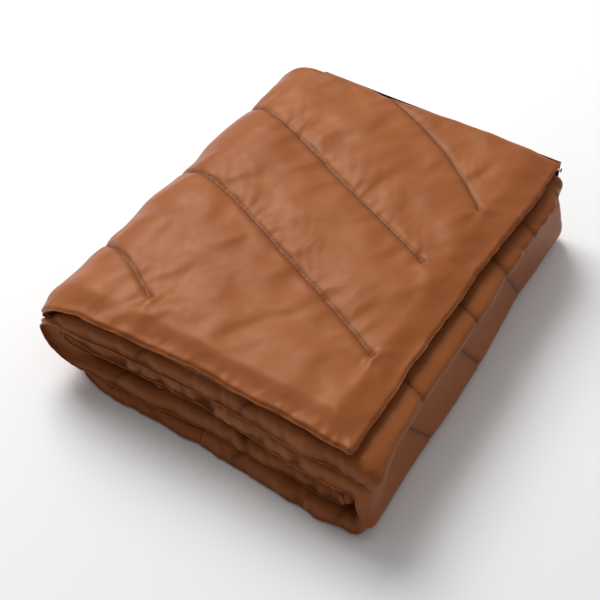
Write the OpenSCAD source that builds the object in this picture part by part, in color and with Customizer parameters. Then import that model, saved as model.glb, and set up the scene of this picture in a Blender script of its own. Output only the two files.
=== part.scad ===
// Infrared sauna blanket: a two-quilt zipped bag, letter-folded in thirds for storage.
// Millimetres, +Z up, +Y along the fold, +X towards the free end of the top third.
// The outer quilt runs top third, left bend, middle third, right wrap, folded-in third.
// The inner quilt lies inside it, face to face, along the same way.

/* [Folded size] */
// Width of the folded stack, from the left bend to the free end
fold_w = 600; // [540:10:660]
// Length of the folded stack, which is the width of the open bag
fold_l = 720; // [660:10:800]
// Height of the folded stack of six quilt layers
fold_h = 180; // [165:1:200]

/* [Quilt] */
// Gap between one quilt layer and the next
layer_gap = 0.4; // [0.3:0.05:0.6]
// Thickness of the face cloth and of the lining
cloth_t = 1.2; // [0.8:0.1:1.6]
// Thickness of the foil-faced heater felt
felt_t = 2; // [1.5:0.1:3]
// Outside corner radius of the right wrap
wrap_corner_r = 35; // [33:1:44]
// How far the outer quilt's open end stops short of the right wrap
outer_setback = 28; // [15:1:45]
// How far the inner quilt's open end stops short of the right wrap
inner_setback = 10; // [2:1:14]

/* [Heater] */
// Width of the carbon-fibre heating tape
tape_w = 5; // [3:0.5:8]
// Thickness of the carbon-fibre heating tape
tape_t = 1.6; // [1:0.1:2]
// Number of runs of heating tape in one panel
tape_runs = 8; // [4:2:12]
// Side of each thermal cut-out
cutout_w = 9; // [7:1:12]

/* [Zip] */
// How far the zip stands out from the far edge of the quilts
zip_stand = 8; // [8:0.5:9]
// Distance of the parked slider from the open end
slider_park = 30; // [20:1:50]
// Length of the pull tab's plate
tab_len = 26; // [18:1:34]

/* [Controller inlet] */
// Place of the inlet along the far edge
inlet_x = 120; // [60:5:160]
// Bore radius of the inlet socket
inlet_r = 6; // [5:0.25:7]
// Depth of the inlet socket
inlet_depth = 14; // [10:1:16]

/* [Hidden] */
$fn = 64;

// Stack of layers
quilt_t = (fold_h - 5 * layer_gap) / 6;
pitch = quilt_t + layer_gap;
near_y = -fold_l / 2;
far_y = fold_l / 2 - zip_stand;
right_x = fold_w / 2;
edge_r = quilt_t / 2;
flat_y0 = near_y + edge_r;
flat_y1 = far_y - edge_r;

// Bends: all the left ones turn about one axis, and so does the end of the folded-in third
bend_x = -right_x + fold_h / 2;
bend_z = fold_h / 2;
outer_bend_r = fold_h / 2;
inner_bend_r = outer_bend_r - pitch;
foot_x = bend_x + 4;
end_gap = 0.3;
turn_r = quilt_t + layer_gap / 2;
slit_r = layer_gap / 2;

// Right wraps
wrap_x = right_x - wrap_corner_r;
wrap_top = 3 * pitch + quilt_t;
wrap_inside_x = right_x - quilt_t;
tuck_x = wrap_inside_x - layer_gap - turn_r;

// Order of the pieces through a quilt, as depths from its face cloth
clear = 0.1;
lining_s = quilt_t - cloth_t;
tape_s = lining_s - clear - tape_t;
felt_s = tape_s - clear - felt_t;
wadding_s0 = cloth_t + clear;
wadding_s1 = felt_s - clear;

// Each panel is [left end, right end, layer number, 1 if its lining faces up, closed right end]
head_outer = [bend_x + end_gap, right_x - outer_setback, 5, -1, true];
head_inner = [bend_x + end_gap, right_x - inner_setback, 4, 1, true];
foot_outer = [foot_x, wrap_x, 3, -1, false];
foot_inner = [foot_x, tuck_x, 2, 1, false];
middle_inner = [bend_x, tuck_x, 1, -1, false];
middle_outer = [bend_x, wrap_x, 0, 1, false];

// Zip on the far edge of the top third, between its two quilts
seam_z = 5 * pitch - layer_gap / 2;
tape_back = far_y + 0.1;
tape_thick = 0.9;
tape_h = 14;
coil_half_gap = 0.9;
coil_h = 2.4;
coil_y0 = far_y - 1.4;
coil_t = 4;
chain_x0 = bend_x + 6;
chain_x1 = right_x - outer_setback - 4;
stop_len = 3.5;
slider_x = right_x - outer_setback - slider_park;
slider_len = 12;
slider_half_h = 5.5;
slider_inner_half_h = 4.5;
plate_t = 1.4;
inner_plate_y = far_y - 3.2;
outer_plate_y = far_y + 3;
neck_half = 0.7;
bridge_half = 3;
bridge_half_h = 1.2;
bridge_pin_y = far_y + 6.4;
pin_r = 1;
pin_clear = 0.05;
tab_t = 1.6;
tab_half_h = 4;
tab_start = 6;

// Controller inlet in the far edge of the middle third's outer quilt
inlet_z = edge_r;
inlet_tube_r = inlet_r + 3;
inlet_floor = 4;
flange_t = 3.8;
flange_w = 38;
flange_h = 22;
flange_y = far_y - flange_t;
inlet_back_y = far_y - inlet_depth - inlet_floor;
rivet_x = 14;
rivet_r = 1.5;
backing_t = 1.5;
backing_y = flange_y - 3.2;
contact_r = 1.2;
contact_ring = 3;
cutout_h = 6;
sensor_r = 2.5;
sensor_len = 12;
lead_r = 2.2;
lead_end_y = 320;
part_gap = 0.3;

cloth_colour = [0.64, 0.41, 0.29];
lining_colour = [0.30, 0.12, 0.08];
wadding_colour = [0.93, 0.92, 0.88];
felt_colour = [0.75, 0.76, 0.78];
heater_colour = [0.12, 0.12, 0.13];
plastic_colour = [0.10, 0.09, 0.09];
brass_colour = [0.72, 0.55, 0.30];

// ---------- Shared shapes ----------

// Runs a flat outline drawn in Y and Z along X
module along_x(x0, x1) {
    translate([x0, 0, 0])
        rotate([90, 0, 90])
            linear_extrude(x1 - x0)
                children();
}

// Outline of a quilt's section: a bar with round near and far edges, shrunk by inset
module quilt_section(z0, inset) {
    r = edge_r - inset;
    translate([flat_y0, z0 + inset])
        square([flat_y1 - flat_y0, 2 * r]);
    for (y = [flat_y0, flat_y1])
        translate([y, z0 + edge_r])
            circle(r);
}

// Lowest height of the slab between two depths from a panel's face cloth
function slab_z(p, s0, s1) = p[2] * pitch + (p[3] > 0 ? s0 : quilt_t - s1);

// A flat slab of a panel between two depths, inset from its four edges
module slab(p, s0, s1, inset) {
    translate([p[0] + inset, flat_y0 + inset, slab_z(p, s0, s1)])
        cube([p[1] - p[0] - 2 * inset, flat_y1 - flat_y0 - 2 * inset, s1 - s0]);
}

// Face cloth of a panel: a sleeve that is open where the lining closes it
module panel_cover(p) {
    cavity_x1 = p[4] ? p[1] - cloth_t : p[1] + 1;
    color(cloth_colour)
        difference() {
            along_x(p[0], p[1]) quilt_section(p[2] * pitch, 0);
            along_x(p[0] - 1, cavity_x1) quilt_section(p[2] * pitch, cloth_t);
            translate([p[0] - 1, flat_y0, slab_z(p, lining_s - clear, quilt_t + 1)])
                cube([cavity_x1 - p[0] + 1, flat_y1 - flat_y0, cloth_t + clear + 1]);
        }
}

module panel_lining(p) {
    end = p[4] ? cloth_t + clear : 0;
    color(lining_colour)
        translate([p[0], flat_y0 + clear, slab_z(p, lining_s, quilt_t)])
            cube([p[1] - p[0] - end, flat_y1 - flat_y0 - 2 * clear, cloth_t]);
}

module panel_wadding(p) {
    end = p[4] ? cloth_t + clear : 0;
    color(wadding_colour)
        intersection() {
            along_x(p[0], p[1] - end) quilt_section(p[2] * pitch, cloth_t + clear);
            translate([p[0] - 1, near_y, slab_z(p, wadding_s0, wadding_s1)])
                cube([p[1] - p[0] + 2, fold_l, wadding_s1 - wadding_s0]);
        }
}

module panel_felt(p) {
    color(felt_colour) slab(p, felt_s, felt_s + felt_t, 10);
}

// Heating tape laid in runs along Y, with a square link at every turn
module panel_heating_tape(p) {
    inset = 30;
    x0 = round(p[0] + inset);
    step = floor((p[1] - inset - x0) / (tape_runs - 1));
    y0 = round(flat_y0 + inset);
    y1 = round(flat_y1 - inset);
    color(heater_colour)
        translate([0, 0, slab_z(p, tape_s, tape_s + tape_t)])
            linear_extrude(tape_t) {
                for (i = [0 : tape_runs - 1])
                    translate([x0 + i * step - tape_w / 2, y0])
                        square([tape_w, y1 - y0]);
                for (i = [0 : tape_runs - 2])
                    translate([x0 + i * step - tape_w / 2, i % 2 == 0 ? y1 - tape_w : y0])
                        square([step + tape_w, tape_w]);
            }
}

// Quilt turned about an axis along Y, from start for sweep degrees, between two radii
module quilt_turn(x, z, r0, start, sweep) {
    translate([x, 0, z])
        rotate([90, 0, 0])
            rotate([0, 0, start])
                rotate_extrude(angle = sweep)
                    mirror([0, 1])
                        translate([r0, 0])
                            turn_section();
}

// Section of a turned quilt, drawn outwards from its inner radius
module turn_section() {
    translate([0, flat_y0])
        square([quilt_t, flat_y1 - flat_y0]);
    for (y = [flat_y0, flat_y1])
        translate([edge_r, y])
            circle(edge_r);
}

// ---------- Quilt panels ----------

module head_outer_cover() { panel_cover(head_outer); }
module head_outer_lining() { panel_lining(head_outer); }
module head_outer_wadding() { panel_wadding(head_outer); }
module head_outer_felt() { panel_felt(head_outer); }
module head_outer_heating_tape() { panel_heating_tape(head_outer); }

module head_inner_cover() { panel_cover(head_inner); }
module head_inner_lining() { panel_lining(head_inner); }
module head_inner_wadding() { panel_wadding(head_inner); }
module head_inner_felt() { panel_felt(head_inner); }
module head_inner_heating_tape() { panel_heating_tape(head_inner); }

module foot_outer_cover() { panel_cover(foot_outer); }
module foot_outer_lining() { panel_lining(foot_outer); }
module foot_outer_wadding() { panel_wadding(foot_outer); }
module foot_outer_felt() { panel_felt(foot_outer); }
module foot_outer_heating_tape() { panel_heating_tape(foot_outer); }

module foot_inner_cover() { panel_cover(foot_inner); }
module foot_inner_lining() { panel_lining(foot_inner); }
module foot_inner_wadding() { panel_wadding(foot_inner); }
module foot_inner_felt() { panel_felt(foot_inner); }
module foot_inner_heating_tape() { panel_heating_tape(foot_inner); }

module middle_inner_cover() { panel_cover(middle_inner); }
module middle_inner_lining() { panel_lining(middle_inner); }
module middle_inner_wadding() { panel_wadding(middle_inner); }
module middle_inner_felt() { panel_felt(middle_inner); }
module middle_inner_heating_tape() { panel_heating_tape(middle_inner); }

module middle_outer_cover() {
    difference() {
        panel_cover(middle_outer);
        inlet_pocket();
    }
}
module middle_outer_lining() { panel_lining(middle_outer); }
module middle_outer_wadding() {
    difference() {
        panel_wadding(middle_outer);
        inlet_pocket();
        electric_pockets();
    }
}
module middle_outer_felt() { panel_felt(middle_outer); }
module middle_outer_heating_tape() { panel_heating_tape(middle_outer); }

// ---------- Bends and joins ----------

module left_outer_bend() {
    color(cloth_colour)
        quilt_turn(bend_x, bend_z, outer_bend_r - quilt_t, 90, 180);
}

module left_inner_bend() {
    color(cloth_colour)
        quilt_turn(bend_x, bend_z, inner_bend_r - quilt_t, 90, 180);
}

// Two quarter turns with a straight face between them
module right_outer_wrap() {
    r0 = wrap_corner_r - quilt_t;
    color(cloth_colour) {
        quilt_turn(wrap_x, wrap_corner_r, r0, 270, 90);
        quilt_turn(wrap_x, wrap_top - wrap_corner_r, r0, 0, 90);
        translate([wrap_inside_x, 0, wrap_corner_r])
            linear_extrude(wrap_top - 2 * wrap_corner_r)
                turn_section();
    }
}

module right_inner_wrap() {
    color(cloth_colour)
        quilt_turn(tuck_x, 2 * pitch - slit_r, slit_r, 270, 180);
}

module foot_end_join() {
    color(cloth_colour)
        quilt_turn(foot_x, bend_z, slit_r, 90, 180);
}

// Strip sewn between the edges of two quilts that meet at height z
module near_strip(x0, x1, z) {
    color(cloth_colour)
        translate([x0, near_y + 3, z - 1.2])
            cube([x1 - x0, 4.5, 2.4]);
}

module near_seam_head() {
    near_strip(head_inner[0], head_inner[1], seam_z);
}

module near_seam_base() {
    near_strip(foot_inner[0], foot_inner[1], 3 * pitch - slit_r);
    near_strip(middle_inner[0], middle_inner[1], pitch - slit_r);
}

// ---------- Zip ----------

// Copies its children to the zip's outer-quilt half, or mirrors them to the inner one
module zip_half(side) {
    translate([0, 0, seam_z])
        mirror([0, 0, side > 0 ? 0 : 1])
            children();
}

module zip_tape(side) {
    color(cloth_colour)
        zip_half(side)
            translate([chain_x0, tape_back, coil_half_gap + coil_h])
                cube([chain_x1 - chain_x0, tape_thick, tape_h]);
}

module zip_coil(side) {
    color(plastic_colour)
        zip_half(side)
            translate([chain_x0, coil_y0, coil_half_gap])
                cube([chain_x1 - chain_x0, coil_t, coil_h]);
}

module zip_tape_outer() { zip_tape(1); }
module zip_tape_inner() { zip_tape(-1); }
module zip_coil_outer() { zip_coil(1); }
module zip_coil_inner() { zip_coil(-1); }

// The bottom stop ties both coils, and each coil has its own top stop
module zip_stops() {
    color(brass_colour) {
        translate([chain_x0 - stop_len - clear, coil_y0, seam_z - coil_half_gap - coil_h])
            cube([stop_len, coil_t, 2 * (coil_half_gap + coil_h)]);
        for (side = [-1, 1])
            zip_half(side)
                translate([chain_x1 + clear, coil_y0, coil_half_gap])
                    cube([stop_len / 2, coil_t, coil_h]);
    }
}

// The zip's stretches along the middle third and the folded-in third, chain and tape in one
module zip_folded_stretch() {
    color(cloth_colour)
        for (z = [pitch - slit_r, 3 * pitch - slit_r])
            translate([foot_x + 5, far_y - 6, z - 1.2])
                cube([tuck_x - foot_x - 5, 4.5, 2.4]);
}

module zip_slider() {
    x0 = slider_x - slider_len / 2;
    lip_y0 = far_y + 1.4;
    color(brass_colour)
        difference() {
            union() {
                translate([x0, inner_plate_y, seam_z - slider_inner_half_h])
                    cube([slider_len, plate_t, 2 * slider_inner_half_h]);
                translate([x0, outer_plate_y, seam_z - slider_half_h])
                    cube([slider_len, plate_t, 2 * slider_half_h]);
                for (side = [-1, 1])
                    zip_half(side)
                        translate([x0, lip_y0, coil_half_gap + coil_h + part_gap])
                            cube([
                                slider_len,
                                outer_plate_y - lip_y0,
                                slider_half_h - coil_half_gap - coil_h - part_gap
                            ]);
                translate([slider_x - 1.5, inner_plate_y, seam_z - neck_half])
                    cube([3, outer_plate_y - inner_plate_y, 2 * neck_half]);
                translate([
                    slider_x - bridge_half,
                    outer_plate_y + plate_t,
                    seam_z - bridge_half_h
                ])
                    cube([
                        2 * bridge_half,
                        fold_l / 2 - outer_plate_y - plate_t,
                        2 * bridge_half_h
                    ]);
            }
            translate([slider_x, bridge_pin_y, seam_z - 5])
                cylinder(h = 10, r = pin_r + pin_clear);
        }
}

// The tab turns on its own cross pin in the slider's bridge
module zip_pull_tab() {
    arm_z = bridge_half_h + 0.4;
    plate_y = bridge_pin_y - tab_t / 2;
    color(brass_colour)
        difference() {
            union() {
                translate([slider_x, bridge_pin_y, seam_z - tab_half_h])
                    cylinder(h = 2 * tab_half_h, r = pin_r);
                for (side = [-1, 1])
                    zip_half(side)
                        translate([slider_x - tab_start - 1, plate_y, arm_z])
                            cube([tab_start + 1, tab_t, tab_half_h - arm_z]);
                translate([slider_x - tab_start - tab_len, plate_y, seam_z - tab_half_h])
                    cube([tab_len, tab_t, 2 * tab_half_h]);
                translate([slider_x - tab_start - tab_len, plate_y + tab_t, seam_z])
                    rotate([90, 0, 0])
                        cylinder(h = tab_t, r = tab_half_h);
            }
            translate([slider_x - tab_start - tab_len, plate_y - 1, seam_z])
                rotate([-90, 0, 0])
                    cylinder(h = tab_t + 2, r = 1.6);
        }
}

// ---------- Controller inlet and electrics ----------

// A cylinder along Y from y0 to y1 at the inlet's height
module inlet_rod(x, z, r, y0, y1) {
    translate([x, y0, z])
        rotate([-90, 0, 0])
            cylinder(h = y1 - y0, r = r);
}

// Room in the quilt for the inlet and its backing plate
module inlet_pocket() {
    w = flange_w + 2 * part_gap;
    translate([inlet_x - w / 2, inlet_back_y - 6, inlet_z - flange_h / 2 - part_gap])
        cube([w, far_y - inlet_back_y + 7, flange_h + 2 * part_gap]);
}

// Socket with its flange, and a blind bore for the controller's plug
module inlet_socket() {
    color(plastic_colour)
        difference() {
            union() {
                translate([inlet_x - flange_w / 2, flange_y, inlet_z - flange_h / 2])
                    cube([flange_w, flange_t, flange_h]);
                inlet_rod(inlet_x, inlet_z, inlet_tube_r, inlet_back_y, far_y - 1);
            }
            inlet_rod(inlet_x, inlet_z, inlet_r, far_y - inlet_depth, far_y + 1);
            for (a = [90, 210, 330])
                inlet_rod(
                    inlet_x + contact_ring * cos(a),
                    inlet_z + contact_ring * sin(a),
                    contact_r,
                    inlet_back_y - 1,
                    far_y - inlet_depth + 1
                );
            for (s = [-1, 1])
                inlet_rod(inlet_x + s * rivet_x, inlet_z, rivet_r, flange_y - 1, far_y + 1);
        }
}

module inlet_backing_plate() {
    color(plastic_colour)
        difference() {
            translate([inlet_x - flange_w / 2, backing_y - backing_t, inlet_z - flange_h / 2])
                cube([flange_w, backing_t, flange_h]);
            inlet_rod(inlet_x, inlet_z, inlet_tube_r + 0.2, backing_y - 5, backing_y + 5);
            for (s = [-1, 1])
                inlet_rod(
                    inlet_x + s * rivet_x, inlet_z, rivet_r, backing_y - 5, backing_y + 5
                );
        }
}

module inlet_contacts() {
    color(brass_colour)
        for (a = [90, 210, 330])
            inlet_rod(
                inlet_x + contact_ring * cos(a),
                inlet_z + contact_ring * sin(a),
                contact_r,
                inlet_back_y - 3,
                far_y - inlet_depth
            );
}

// Rivets that clamp the flange and the backing plate through the cloth
module inlet_rivets() {
    color(brass_colour)
        for (s = [-1, 1]) {
            inlet_rod(inlet_x + s * rivet_x, inlet_z, rivet_r, backing_y - backing_t, far_y);
            inlet_rod(
                inlet_x + s * rivet_x, inlet_z, 2 * rivet_r,
                backing_y - backing_t - 1, backing_y - backing_t
            );
        }
}

// Pockets in the wadding for the harness, the cut-outs and the sensor
module electric_pockets() {
    translate([inlet_x - 8, lead_end_y - 2, inlet_z - 4])
        cube([16, inlet_back_y - lead_end_y, wadding_s1 - inlet_z + 5]);
    for (x = [-150, 150])
        translate([x - cutout_w / 2 - part_gap, -cutout_w, wadding_s1 - cutout_h - part_gap])
            cube([cutout_w + 2 * part_gap, 2 * cutout_w, cutout_h + 1]);
    translate([-sensor_r - part_gap, -sensor_len, wadding_s1 - 2 * sensor_r - 2 * part_gap])
        cube([2 * (sensor_r + part_gap), 2 * sensor_len, 2 * sensor_r + 2]);
}

// Leads from the socket to the heater felt
module lead_harness() {
    top_z = felt_s - part_gap;
    color(heater_colour)
        for (s = [-1, 1]) {
            inlet_rod(inlet_x + 3 * s, inlet_z, lead_r, lead_end_y + 3, inlet_back_y - 3.2);
            translate([inlet_x + 3 * s, lead_end_y + 3, inlet_z])
                cylinder(h = top_z - inlet_z, r = lead_r);
        }
}

module thermal_cutouts() {
    color(plastic_colour)
        for (x = [-150, 150])
            translate([x - cutout_w / 2, -cutout_w + part_gap, wadding_s1 - cutout_h])
                cube([cutout_w, 2 * (cutout_w - part_gap), cutout_h]);
}

module temperature_sensor() {
    color(heater_colour)
        translate([0, -sensor_len / 2, wadding_s1 - sensor_r])
            rotate([-90, 0, 0])
                cylinder(h = sensor_len, r = sensor_r);
}

// Blank woven label sewn into the far edge of the middle third's inner quilt
module care_label() {
    color(wadding_colour)
        translate([-180, far_y + clear, pitch + edge_r - 12])
            cube([34, 0.6, 24]);
}

head_outer_cover();
head_outer_lining();
head_outer_wadding();
head_outer_felt();
head_outer_heating_tape();
head_inner_cover();
head_inner_lining();
head_inner_wadding();
head_inner_felt();
head_inner_heating_tape();
foot_outer_cover();
foot_outer_lining();
foot_outer_wadding();
foot_outer_felt();
foot_outer_heating_tape();
foot_inner_cover();
foot_inner_lining();
foot_inner_wadding();
foot_inner_felt();
foot_inner_heating_tape();
middle_inner_cover();
middle_inner_lining();
middle_inner_wadding();
middle_inner_felt();
middle_inner_heating_tape();
middle_outer_cover();
middle_outer_lining();
middle_outer_wadding();
middle_outer_felt();
middle_outer_heating_tape();
left_outer_bend();
left_inner_bend();
right_outer_wrap();
right_inner_wrap();
foot_end_join();
near_seam_head();
near_seam_base();
zip_tape_outer();
zip_tape_inner();
zip_coil_outer();
zip_coil_inner();
zip_stops();
zip_folded_stretch();
zip_slider();
zip_pull_tab();
inlet_socket();
inlet_backing_plate();
inlet_contacts();
inlet_rivets();
lead_harness();
thermal_cutouts();
temperature_sensor();
care_label();
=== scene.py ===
import math

import bpy
import numpy as np
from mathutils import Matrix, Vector


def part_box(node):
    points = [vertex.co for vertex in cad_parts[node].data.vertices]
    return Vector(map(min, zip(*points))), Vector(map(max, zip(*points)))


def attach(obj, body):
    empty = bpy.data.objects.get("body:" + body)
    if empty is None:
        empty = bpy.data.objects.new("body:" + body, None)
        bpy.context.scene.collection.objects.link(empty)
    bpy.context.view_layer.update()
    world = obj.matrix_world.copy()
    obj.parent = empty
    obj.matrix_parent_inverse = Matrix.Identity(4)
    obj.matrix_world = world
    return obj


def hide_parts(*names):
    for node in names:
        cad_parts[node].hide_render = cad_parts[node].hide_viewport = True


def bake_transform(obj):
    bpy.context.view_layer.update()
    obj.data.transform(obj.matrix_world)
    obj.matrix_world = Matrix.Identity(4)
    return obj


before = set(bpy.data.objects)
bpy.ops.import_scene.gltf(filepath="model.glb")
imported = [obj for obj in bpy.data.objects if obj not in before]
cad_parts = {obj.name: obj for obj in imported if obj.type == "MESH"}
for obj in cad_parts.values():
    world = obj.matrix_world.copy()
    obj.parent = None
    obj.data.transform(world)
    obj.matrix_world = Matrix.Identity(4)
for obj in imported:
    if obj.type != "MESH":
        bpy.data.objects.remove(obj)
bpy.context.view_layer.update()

bl_info = {
    "name": "Infrared Sauna Blanket",
    "version": (1, 0, 0),
    "blender": (4, 5, 0),
    "location": "View3D > Sidebar > Sauna Blanket",
    "description": "Quilted, zipped sauna blanket folded in thirds, built around its CAD frame",
    "category": "Object",
}

# ---------------------------------------------------------------- layout read from the frame


def span(node, axis):
    """The low and high side of a CAD piece along one axis."""
    low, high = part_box(node)
    return low[axis], high[axis]


def middle(node, axis):
    """The middle of a CAD piece along one axis."""
    low, high = span(node, axis)
    return (low + high) / 2


HEAD_Z = middle("head_outer_cover", 2)
HEAD_LOW_Z = middle("head_inner_cover", 2)
FOOT_Z = middle("foot_outer_cover", 2)
FOOT_LOW_Z = middle("foot_inner_cover", 2)
BASE_Z = middle("middle_outer_cover", 2)
BASE_HIGH_Z = middle("middle_inner_cover", 2)
LAYER = span("middle_outer_cover", 2)[1] - span("middle_outer_cover", 2)[0]
HALF = LAYER / 2
FOLD_X = span("middle_outer_cover", 0)[0]
FOOT_X = span("foot_outer_cover", 0)[0]
HEAD_END_X = span("head_outer_cover", 0)[1]
WRAP_X = span("foot_outer_cover", 0)[1]
WRAP_FACE_X = span("right_outer_wrap", 0)[1]
WRAP_CORNER = WRAP_FACE_X - WRAP_X
INNER_WRAP_X = span("foot_inner_cover", 0)[1]
NEAR_Y = span("middle_outer_cover", 1)[0]
FAR_Y = span("middle_outer_cover", 1)[1]
AXIS_Z = (BASE_Z + HEAD_Z) / 2
SEAM_WAY = (0.916, 0.402)  # run of the diagonal quilting on the top, as (s, y)
ZIP_Z = (span("head_outer_cover", 2)[0] + span("head_inner_cover", 2)[1]) / 2
JOINT_X = 0.0  # where the head quilts meet the base quilt

PANEL_PARTS = ("cover", "lining", "wadding", "felt", "heating_tape")


# ---------------------------------------------------------------- settings


class QuiltSettings(bpy.types.PropertyGroup):
    mesh_step: bpy.props.FloatProperty(
        name="Mesh Step", description="Spacing of the cloth mesh",
        default=0.0038, min=0.002, max=0.02, unit="LENGTH")
    puff: bpy.props.FloatProperty(
        name="Puff", description="How far the wadding swells between the seams",
        default=0.0030, min=0.0, max=0.01, unit="LENGTH")
    groove: bpy.props.FloatProperty(
        name="Seam Depth", description="How deep a stitched channel pulls the cover in",
        default=0.0060, min=0.0, max=0.012, unit="LENGTH")
    ripple: bpy.props.FloatProperty(
        name="Ripple Height", description="Height of the gathers beside a stitched channel",
        default=0.0016, min=0.0, max=0.006, unit="LENGTH")
    cloth_cell: bpy.props.FloatProperty(
        name="Cloth Cell", description="Spacing of the cloth that is simulated",
        default=0.0045, min=0.002, max=0.02, unit="LENGTH")
    cloth_ease: bpy.props.FloatProperty(
        name="Cloth Ease", description="Share of extra cloth sewn in between the seams",
        default=0.015, min=0.0, max=0.2)
    cloth_share: bpy.props.FloatProperty(
        name="Cloth Share", description="How much of the simulated gathers is kept",
        default=0.92, min=0.0, max=2.0)
    cloth_bend: bpy.props.FloatProperty(
        name="Cloth Bending", description="Bending stiffness of the cover",
        default=0.6, min=0.0, max=50.0)
    cloth_pressure: bpy.props.FloatProperty(
        name="Cloth Pressure", description="Push of the wadding under the cover",
        default=0.6, min=0.0, max=10.0)
    cloth_frames: bpy.props.IntProperty(
        name="Cloth Frames", description="Steps of the cloth simulation", default=22, min=2, max=100)
    stitch_pitch: bpy.props.FloatProperty(
        name="Stitch Pitch", description="Length of one stitch and its gap",
        default=0.0056, min=0.002, max=0.02, unit="LENGTH")
    stitch_width: bpy.props.FloatProperty(
        name="Thread Width", description="Width of the quilting thread",
        default=0.0011, min=0.0003, max=0.003, unit="LENGTH")


class FinishSettings(bpy.types.PropertyGroup):
    cover: bpy.props.FloatVectorProperty(
        name="Cover", description="Copper satin of the outer cover",
        default=(0.300, 0.090, 0.026), min=0.0, max=1.0, subtype="COLOR", size=3)
    lining: bpy.props.FloatVectorProperty(
        name="Lining", description="Dark lining inside the bag",
        default=(0.080, 0.014, 0.009), min=0.0, max=1.0, subtype="COLOR", size=3)
    thread: bpy.props.FloatVectorProperty(
        name="Thread", description="Rust quilting thread",
        default=(0.080, 0.024, 0.011), min=0.0, max=1.0, subtype="COLOR", size=3)
    tape: bpy.props.FloatVectorProperty(
        name="Zip Tape", description="Woven zip tape",
        default=(0.085, 0.036, 0.020), min=0.0, max=1.0, subtype="COLOR", size=3)
    metal: bpy.props.FloatVectorProperty(
        name="Zip Metal", description="Slider and pull tab",
        default=(0.21, 0.15, 0.11), min=0.0, max=1.0, subtype="COLOR", size=3)
    plastic: bpy.props.FloatVectorProperty(
        name="Inlet Plastic", description="Moulded controller inlet",
        default=(0.030, 0.022, 0.018), min=0.0, max=1.0, subtype="COLOR", size=3)


class StageSettings(bpy.types.PropertyGroup):
    key_power: bpy.props.FloatProperty(
        name="Key Light", description="Power of the large soft light",
        default=168.0, min=0.0, max=500.0, unit="POWER")
    sky: bpy.props.FloatProperty(
        name="Sky", description="Brightness of the even surrounding light",
        default=0.42, min=0.0, max=5.0)
    focal: bpy.props.FloatProperty(
        name="Focal Length", description="Camera lens",
        default=72.0, min=10.0, max=300.0, unit="CAMERA")
    distance: bpy.props.FloatProperty(
        name="Camera Distance", description="From the origin to the camera",
        default=2.0655, min=0.5, max=10.0, unit="LENGTH")
    azimuth: bpy.props.FloatProperty(
        name="Azimuth", description="Camera turned about the vertical",
        default=math.radians(31.45), subtype="ANGLE")
    elevation: bpy.props.FloatProperty(
        name="Elevation", description="Camera height above the floor",
        default=math.radians(48.99), subtype="ANGLE")


# ---------------------------------------------------------------- small maths


def smooth(t):
    """Eases from 0 to 1 as t goes from 0 to 1, and holds outside."""
    t = np.clip(t, 0.0, 1.0)
    return t * t * (3 - 2 * t)


def rounded(q):
    """Quarter ellipse: 0 at the edge, 1 once the distance reaches the edge radius."""
    q = np.clip(q, 0.0, 1.0)
    return np.sqrt(np.maximum(1 - (1 - q) ** 2, 0.0))


def bump(value, centre, width):
    """A bell of height 1 at the centre."""
    return np.exp(-((value - centre) / width) ** 2)


class Drift:
    """Smooth seeded noise over a plane, from -1 to 1."""

    def __init__(self, seed, cells=64):
        self.cells = cells
        self.table = np.random.default_rng(seed).uniform(-1, 1, (cells, cells))

    def __call__(self, u, v):
        u, v = np.broadcast_arrays(np.asarray(u, float), np.asarray(v, float))
        iu, iv = np.floor(u).astype(int), np.floor(v).astype(int)
        fu, fv = u - iu, v - iv
        fu, fv = fu * fu * fu * (fu * (fu * 6 - 15) + 10), fv * fv * fv * (fv * (fv * 6 - 15) + 10)
        a, b = iu % self.cells, (iu + 1) % self.cells
        c, d = iv % self.cells, (iv + 1) % self.cells
        t = self.table
        return ((t[a, c] * (1 - fu) + t[b, c] * fu) * (1 - fv)
                + (t[a, d] * (1 - fu) + t[b, d] * fu) * fv)


def graded(low, high, step, border, rows):
    """Sample positions that crowd together at both ends, where an edge is rounded."""
    q = 1 - np.cos(np.linspace(0, math.pi / 2, rows + 1))
    count = max(2, int(round((high - low - 2 * border) / step)) + 1)
    inner = np.linspace(low + border, high - border, count)
    return np.concatenate([low + border * q[:-1], inner, high - border * q[::-1][1:]])


def arc(centre, radius, start, end, step=1.0):
    """Points on an arc in the XZ plane, angles in degrees from +X towards +Z."""
    count = max(2, int(abs(end - start) / step) + 1)
    a = np.radians(np.linspace(start, end, count))
    return np.stack([centre[0] + radius * np.cos(a), centre[1] + radius * np.sin(a)], 1)


FLOOR_GAP = 0.0008
FLOOR_SOFTNESS = 0.0012


def above_floor(z):
    """Heights eased so that cloth near the floor lies flat on it and never goes through."""
    soft_from = FLOOR_GAP + FLOOR_SOFTNESS
    pressed = FLOOR_GAP + FLOOR_SOFTNESS * np.exp(np.minimum(0, z - soft_from) / FLOOR_SOFTNESS)
    return np.where(z < soft_from, pressed, z)


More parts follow.
